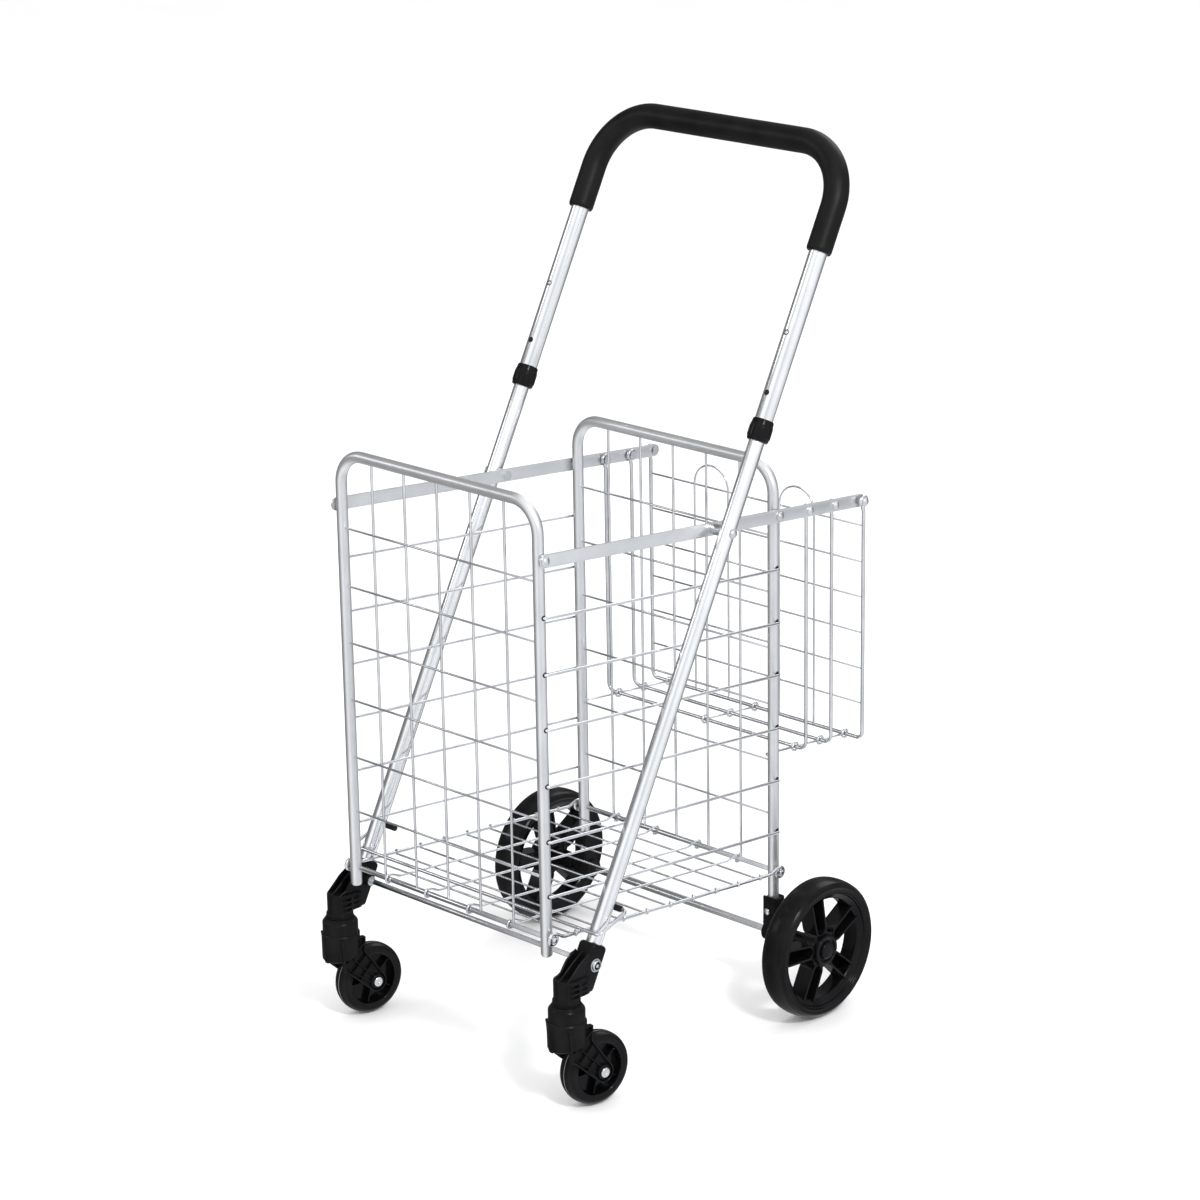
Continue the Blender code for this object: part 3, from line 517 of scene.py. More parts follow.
def cut(mesh, cutters):
    """The mesh with these solids taken out of it."""
    body = add_object("body", mesh)
    tool = add_object("tool", cutters)
    step = body.modifiers.new("cut", "BOOLEAN")
    step.operation = "DIFFERENCE"
    step.solver = "EXACT"
    step.object = tool
    graph = bpy.context.evaluated_depsgraph_get()
    made = bpy.data.meshes.new_from_object(body.evaluated_get(graph))
    bpy.data.objects.remove(body, do_unlink=True)
    bpy.data.objects.remove(tool, do_unlink=True)
    made.shade_smooth()
    made.set_sharp_from_angle(angle=math.radians(30))
    return made


# ---- tube frames
SIDE_FRONT_Z = [z + LINK_DROP for z in SIDE_REAR_Z]


def tube_hole_shadow(work, centre, axes, tube_r, radii, lift):
    """A dark disc of painted shadow on a tube's surface; axes point across the tube, along it and
    outwards.
    """
    across, along, out = axes
    rings = []
    for radius in radii:
        ring = []
        for a, b in arc(0.0, 0.0, radius, 0, 342, 19):
            rise = math.sqrt(max(tube_r ** 2 - a ** 2, 0.0)) + lift
            ring.append(work.verts.new(centre + across * a + along * b + out * rise))
        rings.append(ring)
    bridge(work, rings, caps=(0,))


def frame_tube(name, y, foot_z, top_z, holes, lift, body, node):
    path = rounded(
        [(-LEG_X, y, foot_z), (-LEG_X, y, top_z), (LEG_X, y, top_z), (LEG_X, y, foot_z)],
        FRAME_CORNER_R, 20
    )
    piece(name, rods([path], LEG_R, 40, ends=0.45), FRAME_SILVER, body, node)
    # Painted shadow: dark discs where the side wires enter the legs stand for the shade inside the
    # holes.
    work = bmesh.new()
    for z in holes:
        for side in (-1, 1):
            centre = Vector((side * LEG_X, y, z + lift))
            radii = (0.0, WIRE_HOLE_R * 0.6, WIRE_HOLE_R)
            tube_hole_shadow(work, centre, (Y_AXIS, Z_AXIS, X_AXIS * side), LEG_R, radii, 0.00005)
    piece(name + "_wire_hole_shadows", finish_mesh(work), PAINTED_HOLE_SHADOW, body)


frame_tube(
    "front_tube", FRONT_Y, FRONT_FOOT_Z, FRONT_TOP_Z, SIDE_FRONT_Z, 0.0, "front_frame",
    "front_frame_tube"
)
# The rear legs' painted hole shadows sit 1.2 mm higher, so a crescent of painted shade shows above
# each wire.
frame_tube(
    "rear_tube", REAR_Y, REAR_FOOT_Z, REAR_TOP_Z, SIDE_REAR_Z, 0.0012, "rear_frame", "rear_frame_tube"
)


def frame_panel(name, y, rod_z, top_z, rails, body, node):
    uprights = []
    for x in UPRIGHT_X:
        uprights.append([(x, y, rod_z + ROD_R - 0.0006), (x, y, top_z - LEG_R + 0.0006)])
    bars = []
    half = LEG_X - LEG_R + 0.0006
    rail_y = y - UPRIGHT_R - RAIL_R + 0.001
    for z in rails:
        bars.append([(-half, rail_y, z), (half, rail_y, z)])
    mesh = joined(rods(uprights, UPRIGHT_R), rods(bars, RAIL_R))
    piece(name, mesh, WIRE_ZINC, body, node)


frame_panel(
    "front_panel", FRONT_Y, FRONT_ROD_Z, FRONT_TOP_Z, FRONT_RAIL_Z, "front_frame", "front_wire_panel"
)
rear_rails = [z - LINK_DROP for z in FRONT_RAIL_Z]
frame_panel(
    "rear_panel_grid", REAR_Y, REAR_ROD_Z, REAR_TOP_Z, rear_rails, "rear_frame", "rear_wire_panel"
)
for name, y, z, body, node in (
    ("front_rod", FRONT_Y, FRONT_ROD_Z, "front_frame", "front_bottom_rod"),
    ("rear_rod", REAR_Y, REAR_ROD_Z, "rear_frame", "rear_bottom_rod")
):
    piece(name, rod_across(ROD_END_X, y, z, ROD_R, 24), WIRE_ZINC, body, node)

# ---- side wires
for level, rear_z in enumerate(SIDE_REAR_Z, start=1):
    front_z = rear_z + LINK_DROP
    inner = LEG_X - 0.0015
    path = rounded(
        [
            (inner, REAR_Y, rear_z), (SIDE_WIRE_X, REAR_Y, rear_z), (SIDE_WIRE_X, FRONT_Y, front_z),
            (inner, FRONT_Y, front_z)
        ],
        0.0026, 6
    )
    for label, run in (("right", path), ("left", mirrored(path))):
        piece(
            f"side_wire_{level}_{label}_round", rods([run], SIDE_WIRE_R, 16), WIRE_ZINC,
            f"side_wires_{level}", f"side_wire_{level}_{label}"
        )

# ---- hinged wire floor
FLOOR_LENGTH = math.hypot(REAR_Y - FRONT_Y, LINK_DROP)


def on_floor(x, s, n):
    cos = math.cos(LINK_ANGLE)
    sin = math.sin(LINK_ANGLE)
    return Vector((x, REAR_Y - s * cos + n * sin, REAR_ROD_Z + s * sin + n * cos))


def floor_wire(x, hook=HOOK_R, wrap=240):
    local = [(-a, b) for a, b in arc(0.0, 0.0, hook, 90 - wrap, 90, 18)]
    for t in (0.25, 0.5, 0.75, 1.0):
        eased = t * t * (3 - 2 * t)
        local.append((0.018 * t + 0.001, hook * (1 - eased)))
    rear = [on_floor(x, s, n) for s, n in local]
    front = [on_floor(x, FLOOR_LENGTH - s, n) for s, n in reversed(local)]
    return rear + front


floor_parts = [
    rods([floor_wire(x) for x in FLOOR_WIRE_X], FLOOR_WIRE_R, 14),
    rods(
        [floor_wire(x, FLOOR_EDGE_HOOK_R, 318) for x in (-FLOOR_EDGE_X, FLOOR_EDGE_X)], FLOOR_EDGE_R,
        14
    )
]
cross_wires = []
for count in range(FLOOR_CROSS_COUNT):
    s = 0.035 + 0.0384 * count
    depth = -(FLOOR_WIRE_R + FLOOR_CROSS_R - 0.0006)
    run = [on_floor(0.0, s, depth)]
    reach = FLOOR_EDGE_X - 0.0006
    run.append(on_floor(reach, s, depth))
    run += [on_floor(a, s, n) for a, n in arc(reach, 0.0002, 0.0028, -90, 110, 8)[1:]]
    cross_wires.append(list(reversed(mirrored(run[1:]))) + run)
floor_parts.append(rods(cross_wires, FLOOR_CROSS_R, 12))
piece("wire_floor", joined(*floor_parts), WIRE_ZINC, "basket_floor", "floor_wire_mesh")


# ---- flat bars and bolts
def flat_bar(side, label):
    outline = []
    for y, start in (
        (FRONT_Y, 90 - math.degrees(LINK_ANGLE)), (PANEL_Y, 270 - math.degrees(LINK_ANGLE))
    ):
        outline += arc(y, link_z(BAR_REAR_LEG_Z, y), BAR_HALF_HEIGHT, start, start + 180, 16)
    x0, x1 = sorted((side * BAR_INNER_X, side * BAR_OUTER_X))
    bar = prism(outline, x0, x1, 0.0006)
    piece(f"bar_{label}", bar, BAR_SILVER, "flat_bars", f"flat_bar_{label}")


def dome(x0, radius, height):
    """Points of a domed head that stands on the plane x0."""
    outline = []
    for step in range(7):
        angle = math.radians(90 * step / 6)
        outline.append((x0 + height * math.sin(angle), radius * math.cos(angle)))
    outline[-1] = (x0 + height, 0.0)
    return outline


def bolt(name, side, y, inner_x, seat_x, head_r, head_h, body, node, washer=0.0):
    z = link_z(BAR_REAR_LEG_Z, y)
    outline = [(inner_x, 0.0), (inner_x, 0.0045), (inner_x + 0.0012, 0.0048)]
    outline += [(inner_x + 0.0020, 0.0030), (inner_x + 0.0022, 0.0025), (seat_x - 0.0004, 0.0025)]
    if washer > 0:
        outline += [(seat_x, washer), (seat_x + 0.0008, washer)]
        seat_x += 0.0009
    outline += dome(seat_x, head_r, head_h)
    mesh = sided(shifted(lathe(outline, 32), 0.0, y, z), side)
    piece(name, mesh, BOLT_ZINC, body, node)


for side, label in SIDES:
    flat_bar(side, label)
    seat = BAR_OUTER_X + 0.0001
    for where, y, body in (("front_leg", FRONT_Y, "front_frame"), ("rear_leg", REAR_Y, "rear_frame")):
        bolt(
            f"{where}_rivet_{label}", side, y, LEG_X - 0.002, seat, 0.0052, 0.0030, body,
            f"{where}_bolt_{label}", 0.0060
        )
    for where, y in (("hoop_1", HOOP_Y[0]), ("hoop_2", HOOP_Y[1])):
        bolt(
            f"{where}_rivet_{label}", side, y, HOOP_X - 0.0045, seat, 0.0046, 0.0026, "flat_bars",
            f"{where}_bolt_{label}", 0.0052
        )
    bolt(
        f"panel_rivet_{label}", side, PANEL_Y, BAR_INNER_X - 0.0025, PANEL_X + 0.0022, 0.0046, 0.0024,
        "flat_bars", f"panel_bolt_{label}", 0.0052
    )
    inner = BAR_INNER_X - 0.0028
    tube_in = HANDLE_X - LOWER_TUBE_R
    tube_out = HANDLE_X + LOWER_TUBE_R
    outline = [(inner, 0.0), (inner, 0.0050), (BAR_INNER_X - 0.0002, 0.0055)]
    outline += [(BAR_INNER_X - 0.0001, 0.0030), (BAR_OUTER_X, 0.0030)]
    outline += [(BAR_OUTER_X + 0.0002, 0.0062), (tube_in + 0.0006, 0.0062), (tube_in + 0.0008, 0.003)]
    outline += [(tube_out - 0.0006, 0.0030), (tube_out - 0.0004, 0.0058), (tube_out + 0.0004, 0.0058)]
    outline += dome(tube_out + 0.0004, 0.0050, 0.0028)
    pivot_z = link_z(BAR_REAR_LEG_Z, PIVOT_Y)
    mesh = sided(shifted(lathe(outline, 32), 0.0, PIVOT_Y, pivot_z), side)
    piece(f"handle_pivot_{label}", mesh, BOLT_ZINC, "flat_bars", f"handle_bolt_{label}")

# ---- small rear basket
EYE_R = 0.0053


def wire_loop(x, y, bolt_z, bottom_z, corner):
    """A hoop whose two top ends are formed into eyes round their bolts."""
    path = rounded(
        [(-x, y, bolt_z - 0.012), (-x, y, bottom_z), (x, y, bottom_z), (x, y, bolt_z - 0.012)],
        corner, 10
    )
    eye = arc_yz(x, y, bolt_z, EYE_R, -110, 215, 22)
    lead = [Vector((x, y - 0.0006, bolt_z - 0.0100)), Vector((x, y - 0.0014, bolt_z - 0.0068))]
    run = path + lead + eye
    front = mirrored(list(reversed(lead + eye)))
    return front + run


for number, y in enumerate(HOOP_Y, start=1):
    bolt_z = link_z(BAR_REAR_LEG_Z, y)
    path = wire_loop(HOOP_X, y, bolt_z, link_z(BASKET_EYE_Z, y), 0.010)
    piece(
        f"hoop_wire_{number}", rods([path], HOOP_R, 16), WIRE_ZINC, f"hoop_{number}",
        f"basket_hoop_{number}"
    )

panel_bolt_z = link_z(BAR_REAR_LEG_Z, PANEL_Y)
panel_bottom_z = link_z(BASKET_EYE_Z, PANEL_Y)
panel_parts = [rods([wire_loop(PANEL_X, PANEL_Y, panel_bolt_z, panel_bottom_z, 0.008)], PANEL_R, 16)]
rails = []
for z in PANEL_RAIL_Z:
    rails.append([(-PANEL_X + 0.0012, PANEL_Y, z), (PANEL_X - 0.0012, PANEL_Y, z)])
panel_parts.append(rods(rails, PANEL_RAIL_R, 12))
arcs = []
for centre in (-0.0676, 0.0676):
    bend = 0.027
    upright_y = PANEL_Y - 0.0018
    path = [Vector((centre - bend, upright_y, panel_bottom_z + 0.001))]
    path += [Vector((a, upright_y, b)) for a, b in arc(centre, 0.5800 - bend, bend, 180, 0, 24)]
    path.append(Vector((centre + bend, upright_y, panel_bottom_z + 0.001)))
    arcs.append(path)
panel_parts.append(rods(arcs, 0.0012, 12))
piece("basket_panel", joined(*panel_parts), WIRE_ZINC, "rear_panel", "rear_basket_panel")


def basket_link(name, x, stops, tail, node):
    """A wire with an eye at every stop; with a tail it starts in the rear leg."""
    cos = math.cos(LINK_ANGLE)
    sin = math.sin(LINK_ANGLE)
    parts = []
    rings = []
    for y in stops:
        z = link_z(BASKET_EYE_Z, y)
        rings.append(arc_yz(x, y, z, LINK_EYE_R, 0, 345, 22)[:-1])
    parts.append(rods(rings, LINK_R, 12, closed=True))
    runs = []
    for y0, y1 in zip(stops, stops[1:]):
        z0 = link_z(BASKET_EYE_Z, y0)
        z1 = link_z(BASKET_EYE_Z, y1)
        runs.append(
            [
                (x, y0 + cos * LINK_EYE_R, z0 - sin * LINK_EYE_R),
                (x, y1 - cos * LINK_EYE_R, z1 + sin * LINK_EYE_R)
            ]
        )
    if tail:
        y0 = stops[0]
        z0 = link_z(BASKET_EYE_Z, y0)
        corners = [
            (math.copysign(LEG_X - 0.004, x), REAR_Y, BASKET_EYE_Z), (x, REAR_Y, BASKET_EYE_Z),
            (x, y0 - cos * LINK_EYE_R, z0 + sin * LINK_EYE_R)
        ]
        runs.append(rounded(corners, 0.003, 6))
    parts.append(rods(runs, LINK_R, 12))
    piece(name, joined(*parts), WIRE_ZINC, "basket_links", node)


STOPS = (HOOP_Y[0], HOOP_Y[1], PANEL_Y)
basket_link("basket_link_right", LINK_X, STOPS, True, "basket_floor_link_right")
basket_link("basket_link_left", -LINK_X, STOPS, True, "basket_floor_link_left")
basket_link("basket_link_middle", 0.0, STOPS, False, "basket_floor_link_middle")


# ---- handle
def handle_path(start_s, steps=24):
    return rounded(
        [
            on_handle(start_s, x=-HANDLE_X), on_handle(HANDLE_TOP_S, x=-HANDLE_X),
            on_handle(HANDLE_TOP_S, x=HANDLE_X), on_handle(start_s, x=HANDLE_X)
        ],
        HANDLE_CORNER_R, steps
    )


for side, label in SIDES:
    x = side * HANDLE_X
    leg = rods([[on_handle(s, x=x) for s in LOWER_TUBE_S]], LOWER_TUBE_R, 40, ends=0.1)
    piece(f"lower_tube_{label}", leg, HANDLE_SILVER, "handle_legs", f"handle_leg_{label}")

upper = rods([handle_path(COLLAR_S[0] + 0.0025)], UPPER_TUBE_R, 40, ends=0.1)
piece("upper_tube", upper, HANDLE_SILVER, "handle_top", "handle_upper_tube")
# Painted shadow: dark discs on the upper tube stand for the shade inside the button holes.
work = bmesh.new()
for x in (-HANDLE_X, HANDLE_X):
    for s in BUTTON_S:
        axes = (X_AXIS, HANDLE_ALONG, HANDLE_FRONT)
        radii = (BUTTON_HOLE_R * 0.05, BUTTON_HOLE_R * 0.5, BUTTON_HOLE_R)
        tube_hole_shadow(work, on_handle(s, 0.0, x), axes, UPPER_TUBE_R, radii, 0.00006)
piece("button_hole_shadows", finish_mesh(work), PAINTED_HOLE_SHADOW, "handle_top")


def on_tube(mesh, x, s, out=0.0):
    """Turns a solid made along X so that it stands along the handle tube from s."""
    turn = Matrix.Rotation(-HANDLE_TILT, 4, "X") @ Matrix.Rotation(-math.pi / 2, 4, "Y")
    return moved(mesh, Matrix.Translation(on_handle(s, out, x)) @ turn)


def facing_front(mesh, x, s, out):
    """Turns a solid made along X so that its X points out of the front of the handle tube."""
    turn = X_AXIS.rotation_difference(HANDLE_FRONT).to_matrix().to_4x4()
    return moved(mesh, Matrix.Translation(on_handle(s, out, x)) @ turn)


for side, label in SIDES:
    x = side * HANDLE_X
    button = lathe([(-0.004, 0.0), (-0.004, 0.0026)] + dome(0.0, 0.0026, 0.0015), 24)
    piece(
        f"button_{label}", facing_front(button, x, BUTTON_S[1], UPPER_TUBE_R - 0.0002), BOLT_ZINC,
        "handle_top"
    )
    length = COLLAR_S[1] - COLLAR_S[0]
    outline = [
        (0.0, LOWER_TUBE_R + 0.0001), (0.0, COLLAR_R - 0.0016), (0.0014, COLLAR_R - 0.0006),
        (0.0040, COLLAR_R - 0.0004), (0.0045, COLLAR_R), (length - 0.0065, COLLAR_R),
        (length - 0.0060, COLLAR_R - 0.0005), (length - 0.0020, COLLAR_R - 0.0008),
        (length - 0.0004, COLLAR_R - 0.0014), (length, UPPER_TUBE_R + 0.0001)
    ]
    parts = [on_tube(lathe(soft_outline(outline, 0.0006), 64), x, COLLAR_S[0])]
    for step in range(28):
        turn = Matrix.Rotation(math.tau * step / 28, 4, "X")
        rib = moved(block((0.0118, 0.0010, 0.0006), (0.0107, 0.0, COLLAR_R), 0.00025), turn)
        parts.append(on_tube(rib, x, COLLAR_S[0]))
    piece(f"collar_{label}", joined(*parts), BLACK_GLOSS, "handle_top", f"handle_collar_{label}")


def grip():
    """The foam sleeve, with softened ends and a very fine ripple along it."""
    path = handle_path(GRIP_START_S, 32)
    lengths = [0.0]
    for before, after in zip(path, path[1:]):
        lengths.append(lengths[-1] + (after - before).length)
    total = lengths[-1]
    dense = []
    steps = 360
    index = 0
    for step in range(steps + 1):
        target = total * step / steps
        while index < len(path) - 2 and lengths[index + 1] < target:
            index += 1
        t = (target - lengths[index]) / (lengths[index + 1] - lengths[index])
        dense.append((path[index].lerp(path[index + 1], t), target))
    work = bmesh.new()
    sides = 40
    rings = []
    for index, (place, run) in enumerate(dense):
        before = dense[max(index - 1, 0)][0]
        after = dense[min(index + 1, steps)][0]
        tangent = (after - before).normalized()
        across = Vector((0.0, math.cos(HANDLE_TILT), -math.sin(HANDLE_TILT)))
        side = tangent.cross(across)
        edge = min(run, total - run)
        radius = GRIP_R - 0.0004
        if edge < 0.004:
            radius -= 0.0012 * (1 - edge / 0.004) ** 2
        radius += 0.00012 * math.cos(math.tau * run / 0.0031)
        ring = []
        for count in range(sides):
            angle = math.tau * count / sides
            out = across * math.cos(angle) + side * math.sin(angle)
            ring.append(work.verts.new(place + out * radius))
        rings.append(ring)
    bridge(work, rings)
    return finish_mesh(work, 50.0)


foam = piece("foam_grip", grip(), GRIP_FOAM, "handle_top", "handle_grip")

# ---- caster sockets
CROSS_ROD_Y = -0.2199
CROSS_ROD_Z = 0.1685
TILT3 = Matrix.Rotation(-HANDLE_TILT, 3, "X")


def upright_lathe(outline, x, y, segments=64, z=0.0):
    """A solid of revolution about an upright axis from (height above z, radius) points."""
    turn = Matrix.Translation((x, y, z)) @ Matrix.Rotation(-math.pi / 2, 4, "Y")
    return moved(lathe(outline, segments), turn)


def socket(side, label):
    """The moulded piece on a handle leg: a slanted sleeve, a round shoulder, gussets and a neck."""
    x = side * HANDLE_X
    middle = on_handle((SOCKET_TOP_S + SOCKET_FOOT_S) / 2, x=x)
    sleeve = block((0.0240, 0.0246, SOCKET_TOP_S - SOCKET_FOOT_S), middle, 0.0048, TILT3, 6)
    shoulder = upright_lathe(
        soft_outline(
            [(0.0052, 0.0), (0.0052, 0.0140), (0.0070, 0.0152), (0.0295, 0.0152), (0.0295, 0.0)],
            0.0018
        ),
        x, SWIVEL_Y + 0.0012, 72, BARREL_TOP_Z
    )
    back = block((0.0310, 0.0230, 0.0215), (x, SWIVEL_Y + 0.0125, 0.1475), 0.0040, None, 4)
    slots = []
    for row in range(3):
        for face in (-1, 1):
            z = 0.1405 + 0.0062 * row
            long_slot = block(
                (0.0060, 0.0125, 0.0036), (x + face * 0.0152, SWIVEL_Y - 0.0010, z), 0.0014
            )
            short_slot = block(
                (0.0060, 0.0080, 0.0036), (x + face * 0.0162, SWIVEL_Y + 0.0125, z), 0.0014
            )
            slots += [long_slot, short_slot]
    tools = joined(*slots)
    shoulder = cut(shoulder, tools)
    back = cut(back, tools)
    neck = upright_lathe(
        soft_outline(
            [
                (GAP, 0.0), (GAP, 0.0160), (0.0016, 0.0164), (0.0020, 0.0148), (0.0034, 0.0148),
                (0.0038, 0.0158), (0.0056, 0.0158), (0.0060, 0.0146), (0.0080, 0.0146), (0.0080, 0.0)
            ],
            0.0004
        ),
        x, SWIVEL_Y, z=BARREL_TOP_Z
    )
    ribs = []
    for offset in (-0.0100, 0.0, 0.0100):
        front = SWIVEL_Y - (0.0100 if offset else 0.0120)
        outline = [(front, 0.1560), (front + 0.0018, 0.1592)]
        if offset * side < 0:
            outline.append((SWIVEL_Y + 0.0010, 0.1625))
        outline += [
            (SWIVEL_Y + 0.0105, 0.1745), (SWIVEL_Y + 0.0260, 0.1830), (SWIVEL_Y + 0.0330, 0.1700),
            (SWIVEL_Y + 0.0200, 0.1560)
        ]
        ribs.append(prism(outline, x + offset - 0.0010, x + offset + 0.0010, 0.0004, 1))
    ear = lathe([(0.0, 0.0), (0.0, 0.0064), (0.0088, 0.0066), (0.0096, 0.0058), (0.0096, 0.0)], 32)
    ear = sided(shifted(ear, -0.0208, CROSS_ROD_Y, CROSS_ROD_Z), side)
    ear = shifted(ear, x, 0.0, 0.0)
    mesh = joined(sleeve, shoulder, back, neck, ear, *ribs)
    piece(f"socket_{label}", mesh, BLACK_PLASTIC, "handle_legs", f"caster_socket_{label}")
    washer = lathe([(-0.0006, 0.0), (-0.0006, 0.0076), (0.0008, 0.0076), (0.0010, 0.0)], 40)
    rim = lathe(
        soft_outline(
            [
                (0.0006, 0.0068), (0.0034, 0.0062), (0.0040, 0.0056), (0.0040, 0.0048),
                (0.0012, 0.0046)
            ],
            0.0006
        ),
        40
    )
    hexagon = arc(0.0, 0.0, 0.0024, 18, 318, 5)
    head = prism(hexagon, 0.0004, 0.0036, 0.0003)
    bolt_mesh = sided(joined(washer, rim, head), side)
    place = Matrix.Translation(on_handle(-0.4965, x=x + side * 0.0120))
    piece(f"socket_bolt_{label}", moved(bolt_mesh, place), BOLT_ZINC, "handle_legs")
    # Painted shadow: a dark ring inside the bolt's rim stands for the shade in its socket.
    recess_shade = lathe([(0.0011, 0.0), (0.0011, 0.0047), (0.0016, 0.0047), (0.0016, 0.0)], 40)
    recess_shade = moved(sided(recess_shade, side), place)
    piece(f"socket_bolt_recess_{label}", recess_shade, PAINTED_HOLE_SHADOW, "handle_legs")
    ring = lathe([(0.0, 0.0031), (0.0, 0.0056), (0.0012, 0.0056), (0.0014, 0.0031)], 32)
    place = Matrix.Translation((side * (HANDLE_X - 0.0208) - 0.0007, CROSS_ROD_Y, CROSS_ROD_Z))
    piece(f"cross_rod_washer_{label}", moved(ring, place), BOLT_ZINC, "handle_legs")


socket(1, "right")
socket(-1, "left")
cross_half = HANDLE_X - 0.0130 + 0.0040
piece(
    "cross_rod", rod_across(cross_half, CROSS_ROD_Y, CROSS_ROD_Z, 0.003, 24), WIRE_ZINC,
    "handle_legs", "caster_cross_rod"
)


# ---- casters
def caster(label):
    roll = joint_place(f"caster_roll_{label}")
    swivel = joint_place(f"caster_swivel_{label}")
    wheel_r = roll.z
    trail = math.hypot(roll.x - swivel.x, roll.y - swivel.y)
    yaw = -math.atan2(roll.x - swivel.x, roll.y - swivel.y)
    placing = Matrix.Translation((swivel.x, swivel.y, 0.0)) @ Matrix.Rotation(yaw, 4, "Z")
    top = BARREL_TOP_Z
    barrel = upright_lathe(
        soft_outline(
            [
                (0.1000, 0.0), (0.1000, 0.0200), (0.1075, 0.0208), (0.1238, 0.0207), (0.1262, 0.0190),
                (0.1268, 0.0176), (top, 0.0172), (top, 0.0)
            ],
            0.0011, 4
        ),
        0.0, 0.0
    )
    work = bmesh.new()
    rings = []
    for radius, lift in ((0.0205, 0.0), (0.0222, 0.0020), (0.0224, 1.0), (0.0212, 1.0015)):
        ring = []
        for step in range(64):
            angle = math.tau * step / 64
            px = radius * math.cos(angle)
            py = radius * math.sin(angle)
            low = 0.0765 + 0.0078 * (py + 0.0224) / 0.0448
            z = low + lift if lift < 0.5 else 0.1090 + (lift - 1.0)
            ring.append(work.verts.new((px, py, z)))
        rings.append(ring)
    bridge(work, rings)
    parts = [barrel, finish_mesh(work)]
    boss_r = 0.0112
    boss = (trail, wheel_r)
    plate_outline = [(-0.0115, 0.1040), (-0.0085, 0.0690)]
    plate_outline += arc(*boss, boss_r, 232, 404, 14)
    plate_outline += [(0.0195, 0.0860), (0.0205, 0.1040)]
    closed_outline = plate_outline + [plate_outline[0]]
    lattice = (
        ((-0.0100, 0.0880), (0.0060, 0.1040)), ((-0.0092, 0.0720), (0.0200, 0.0960)),
        ((0.0020, 0.0610), (0.0225, 0.0800)), ((0.0130, 0.0500), (0.0300, 0.0670)),
        ((-0.0105, 0.0960), (0.0040, 0.0760)), ((0.0040, 0.1040), (0.0050, 0.0780)),
        ((0.0050, 0.0780), (trail - 0.0050, wheel_r + 0.0090)),
        ((-0.0090, 0.0720), (trail - 0.0100, wheel_r + 0.0020))
    )
    for cheek in (-1, 1):
        inner = cheek * 0.0135
        floor_x = cheek * 0.0158
        rim_x = cheek * 0.0204
        x0, x1 = sorted((inner, floor_x))
        parts.append(prism(plate_outline, x0, x1, 0.0003, 1))
        r0, r1 = sorted((floor_x - cheek * 0.0004, rim_x))
        for one, two in zip(closed_outline, closed_outline[1:]):
            parts.append(wall([one, two], 0.0018, r0, r1, 0.0004))
        r0, r1 = sorted((floor_x - cheek * 0.0004, rim_x - cheek * 0.0008))
        for one, two in lattice:
            parts.append(wall([one, two], 0.0013, r0, r1, 0.0003))
        front_rib = wall(
            [(-0.0125, 0.1075), (-0.0115, 0.1030), (-0.0085, 0.0690), (-0.0070, 0.0655)], 0.0030,
            *sorted((floor_x, cheek * 0.0222)), 0.0009
        )
        parts.append(front_rib)
        hub_wall = lathe(
            [(0.0, 0.0), (0.0, 0.0092), (0.0052, 0.0088), (0.0058, 0.0080), (0.0058, 0.0)], 40
        )
        parts.append(shifted(sided(hub_wall, cheek), cheek * 0.0140, *boss))
    fork = moved(joined(*parts), placing)
    piece(f"fork_{label}", fork, BLACK_PLASTIC, f"caster_{label}", f"caster_fork_{label}")
    ends = []
    for cheek in (-1, 1):
        outline = [(0.0, 0.0), (0.0, 0.0058), (0.0014, 0.0058), (0.0022, 0.0048), (0.0022, 0.0022)]
        outline += [(0.0016, 0.0018), (0.0014, 0.0)]
        cap = sided(lathe(soft_outline(outline, 0.0004), 36), cheek)
        ends.append(shifted(cap, cheek * 0.0197, *boss))
    piece(f"caster_axle_ends_{label}", moved(joined(*ends), placing), BOLT_ZINC, f"caster_{label}")

    half = 0.0118
    tyre_outline = soft_outline(
        both_sides(
            [
                (-half + 0.0008, wheel_r - 0.0105), (-half, wheel_r - 0.0095),
                (-half, wheel_r - 0.0055), (-half + 0.0022, wheel_r - 0.0020),
                (-0.0045, wheel_r - 0.0002), (-0.0008, wheel_r), (-0.0004, wheel_r - 0.0004)
            ]
        ),
        0.0014
    )
    wheel_place = placing @ Matrix.Translation((0.0, *boss))
    body_name = f"caster_wheel_{label}_body"
    tyre_mesh = moved(lathe(tyre_outline, 96), wheel_place)
    piece(f"caster_tyre_{label}", tyre_mesh, TYRE_RUBBER, body_name, f"caster_wheel_{label}")
    seam = lathe(both_sides([(-0.0004, wheel_r - 0.0010), (-0.0004, wheel_r - 0.0001)]), 96)
    piece(f"caster_seam_{label}", moved(seam, wheel_place), SEAM, body_name)
    rim_outline = both_sides(
        [
            (-0.0112, wheel_r - 0.0100), (-0.0112, wheel_r - 0.0118), (-0.0100, wheel_r - 0.0128),
            (-0.0090, wheel_r - 0.0118)
        ]
    )
    core = [lathe(soft_outline(rim_outline, 0.0004), 96)]
    hub = both_sides(
        [
            (-0.0112, 0.0), (-0.0112, 0.0098), (-0.0030, 0.0104), (-0.0014, 0.0120),
            (-0.0014, wheel_r - 0.0110)
        ]
    )
    core.append(lathe(hub, 72))
    spoke_end = wheel_r - 0.0112
    for count in range(5):
        turn = Matrix.Rotation(math.tau * (count + 0.3) / 5, 4, "X")
        rib = block((0.0170, 0.0015, spoke_end - 0.009), (0.0, 0.0, (spoke_end + 0.009) / 2), 0.0005)
        core.append(moved(rib, turn))
    piece(f"caster_core_{label}", moved(joined(*core), wheel_place), WHEEL_PLASTIC, body_name)


caster("right")
caster("left")


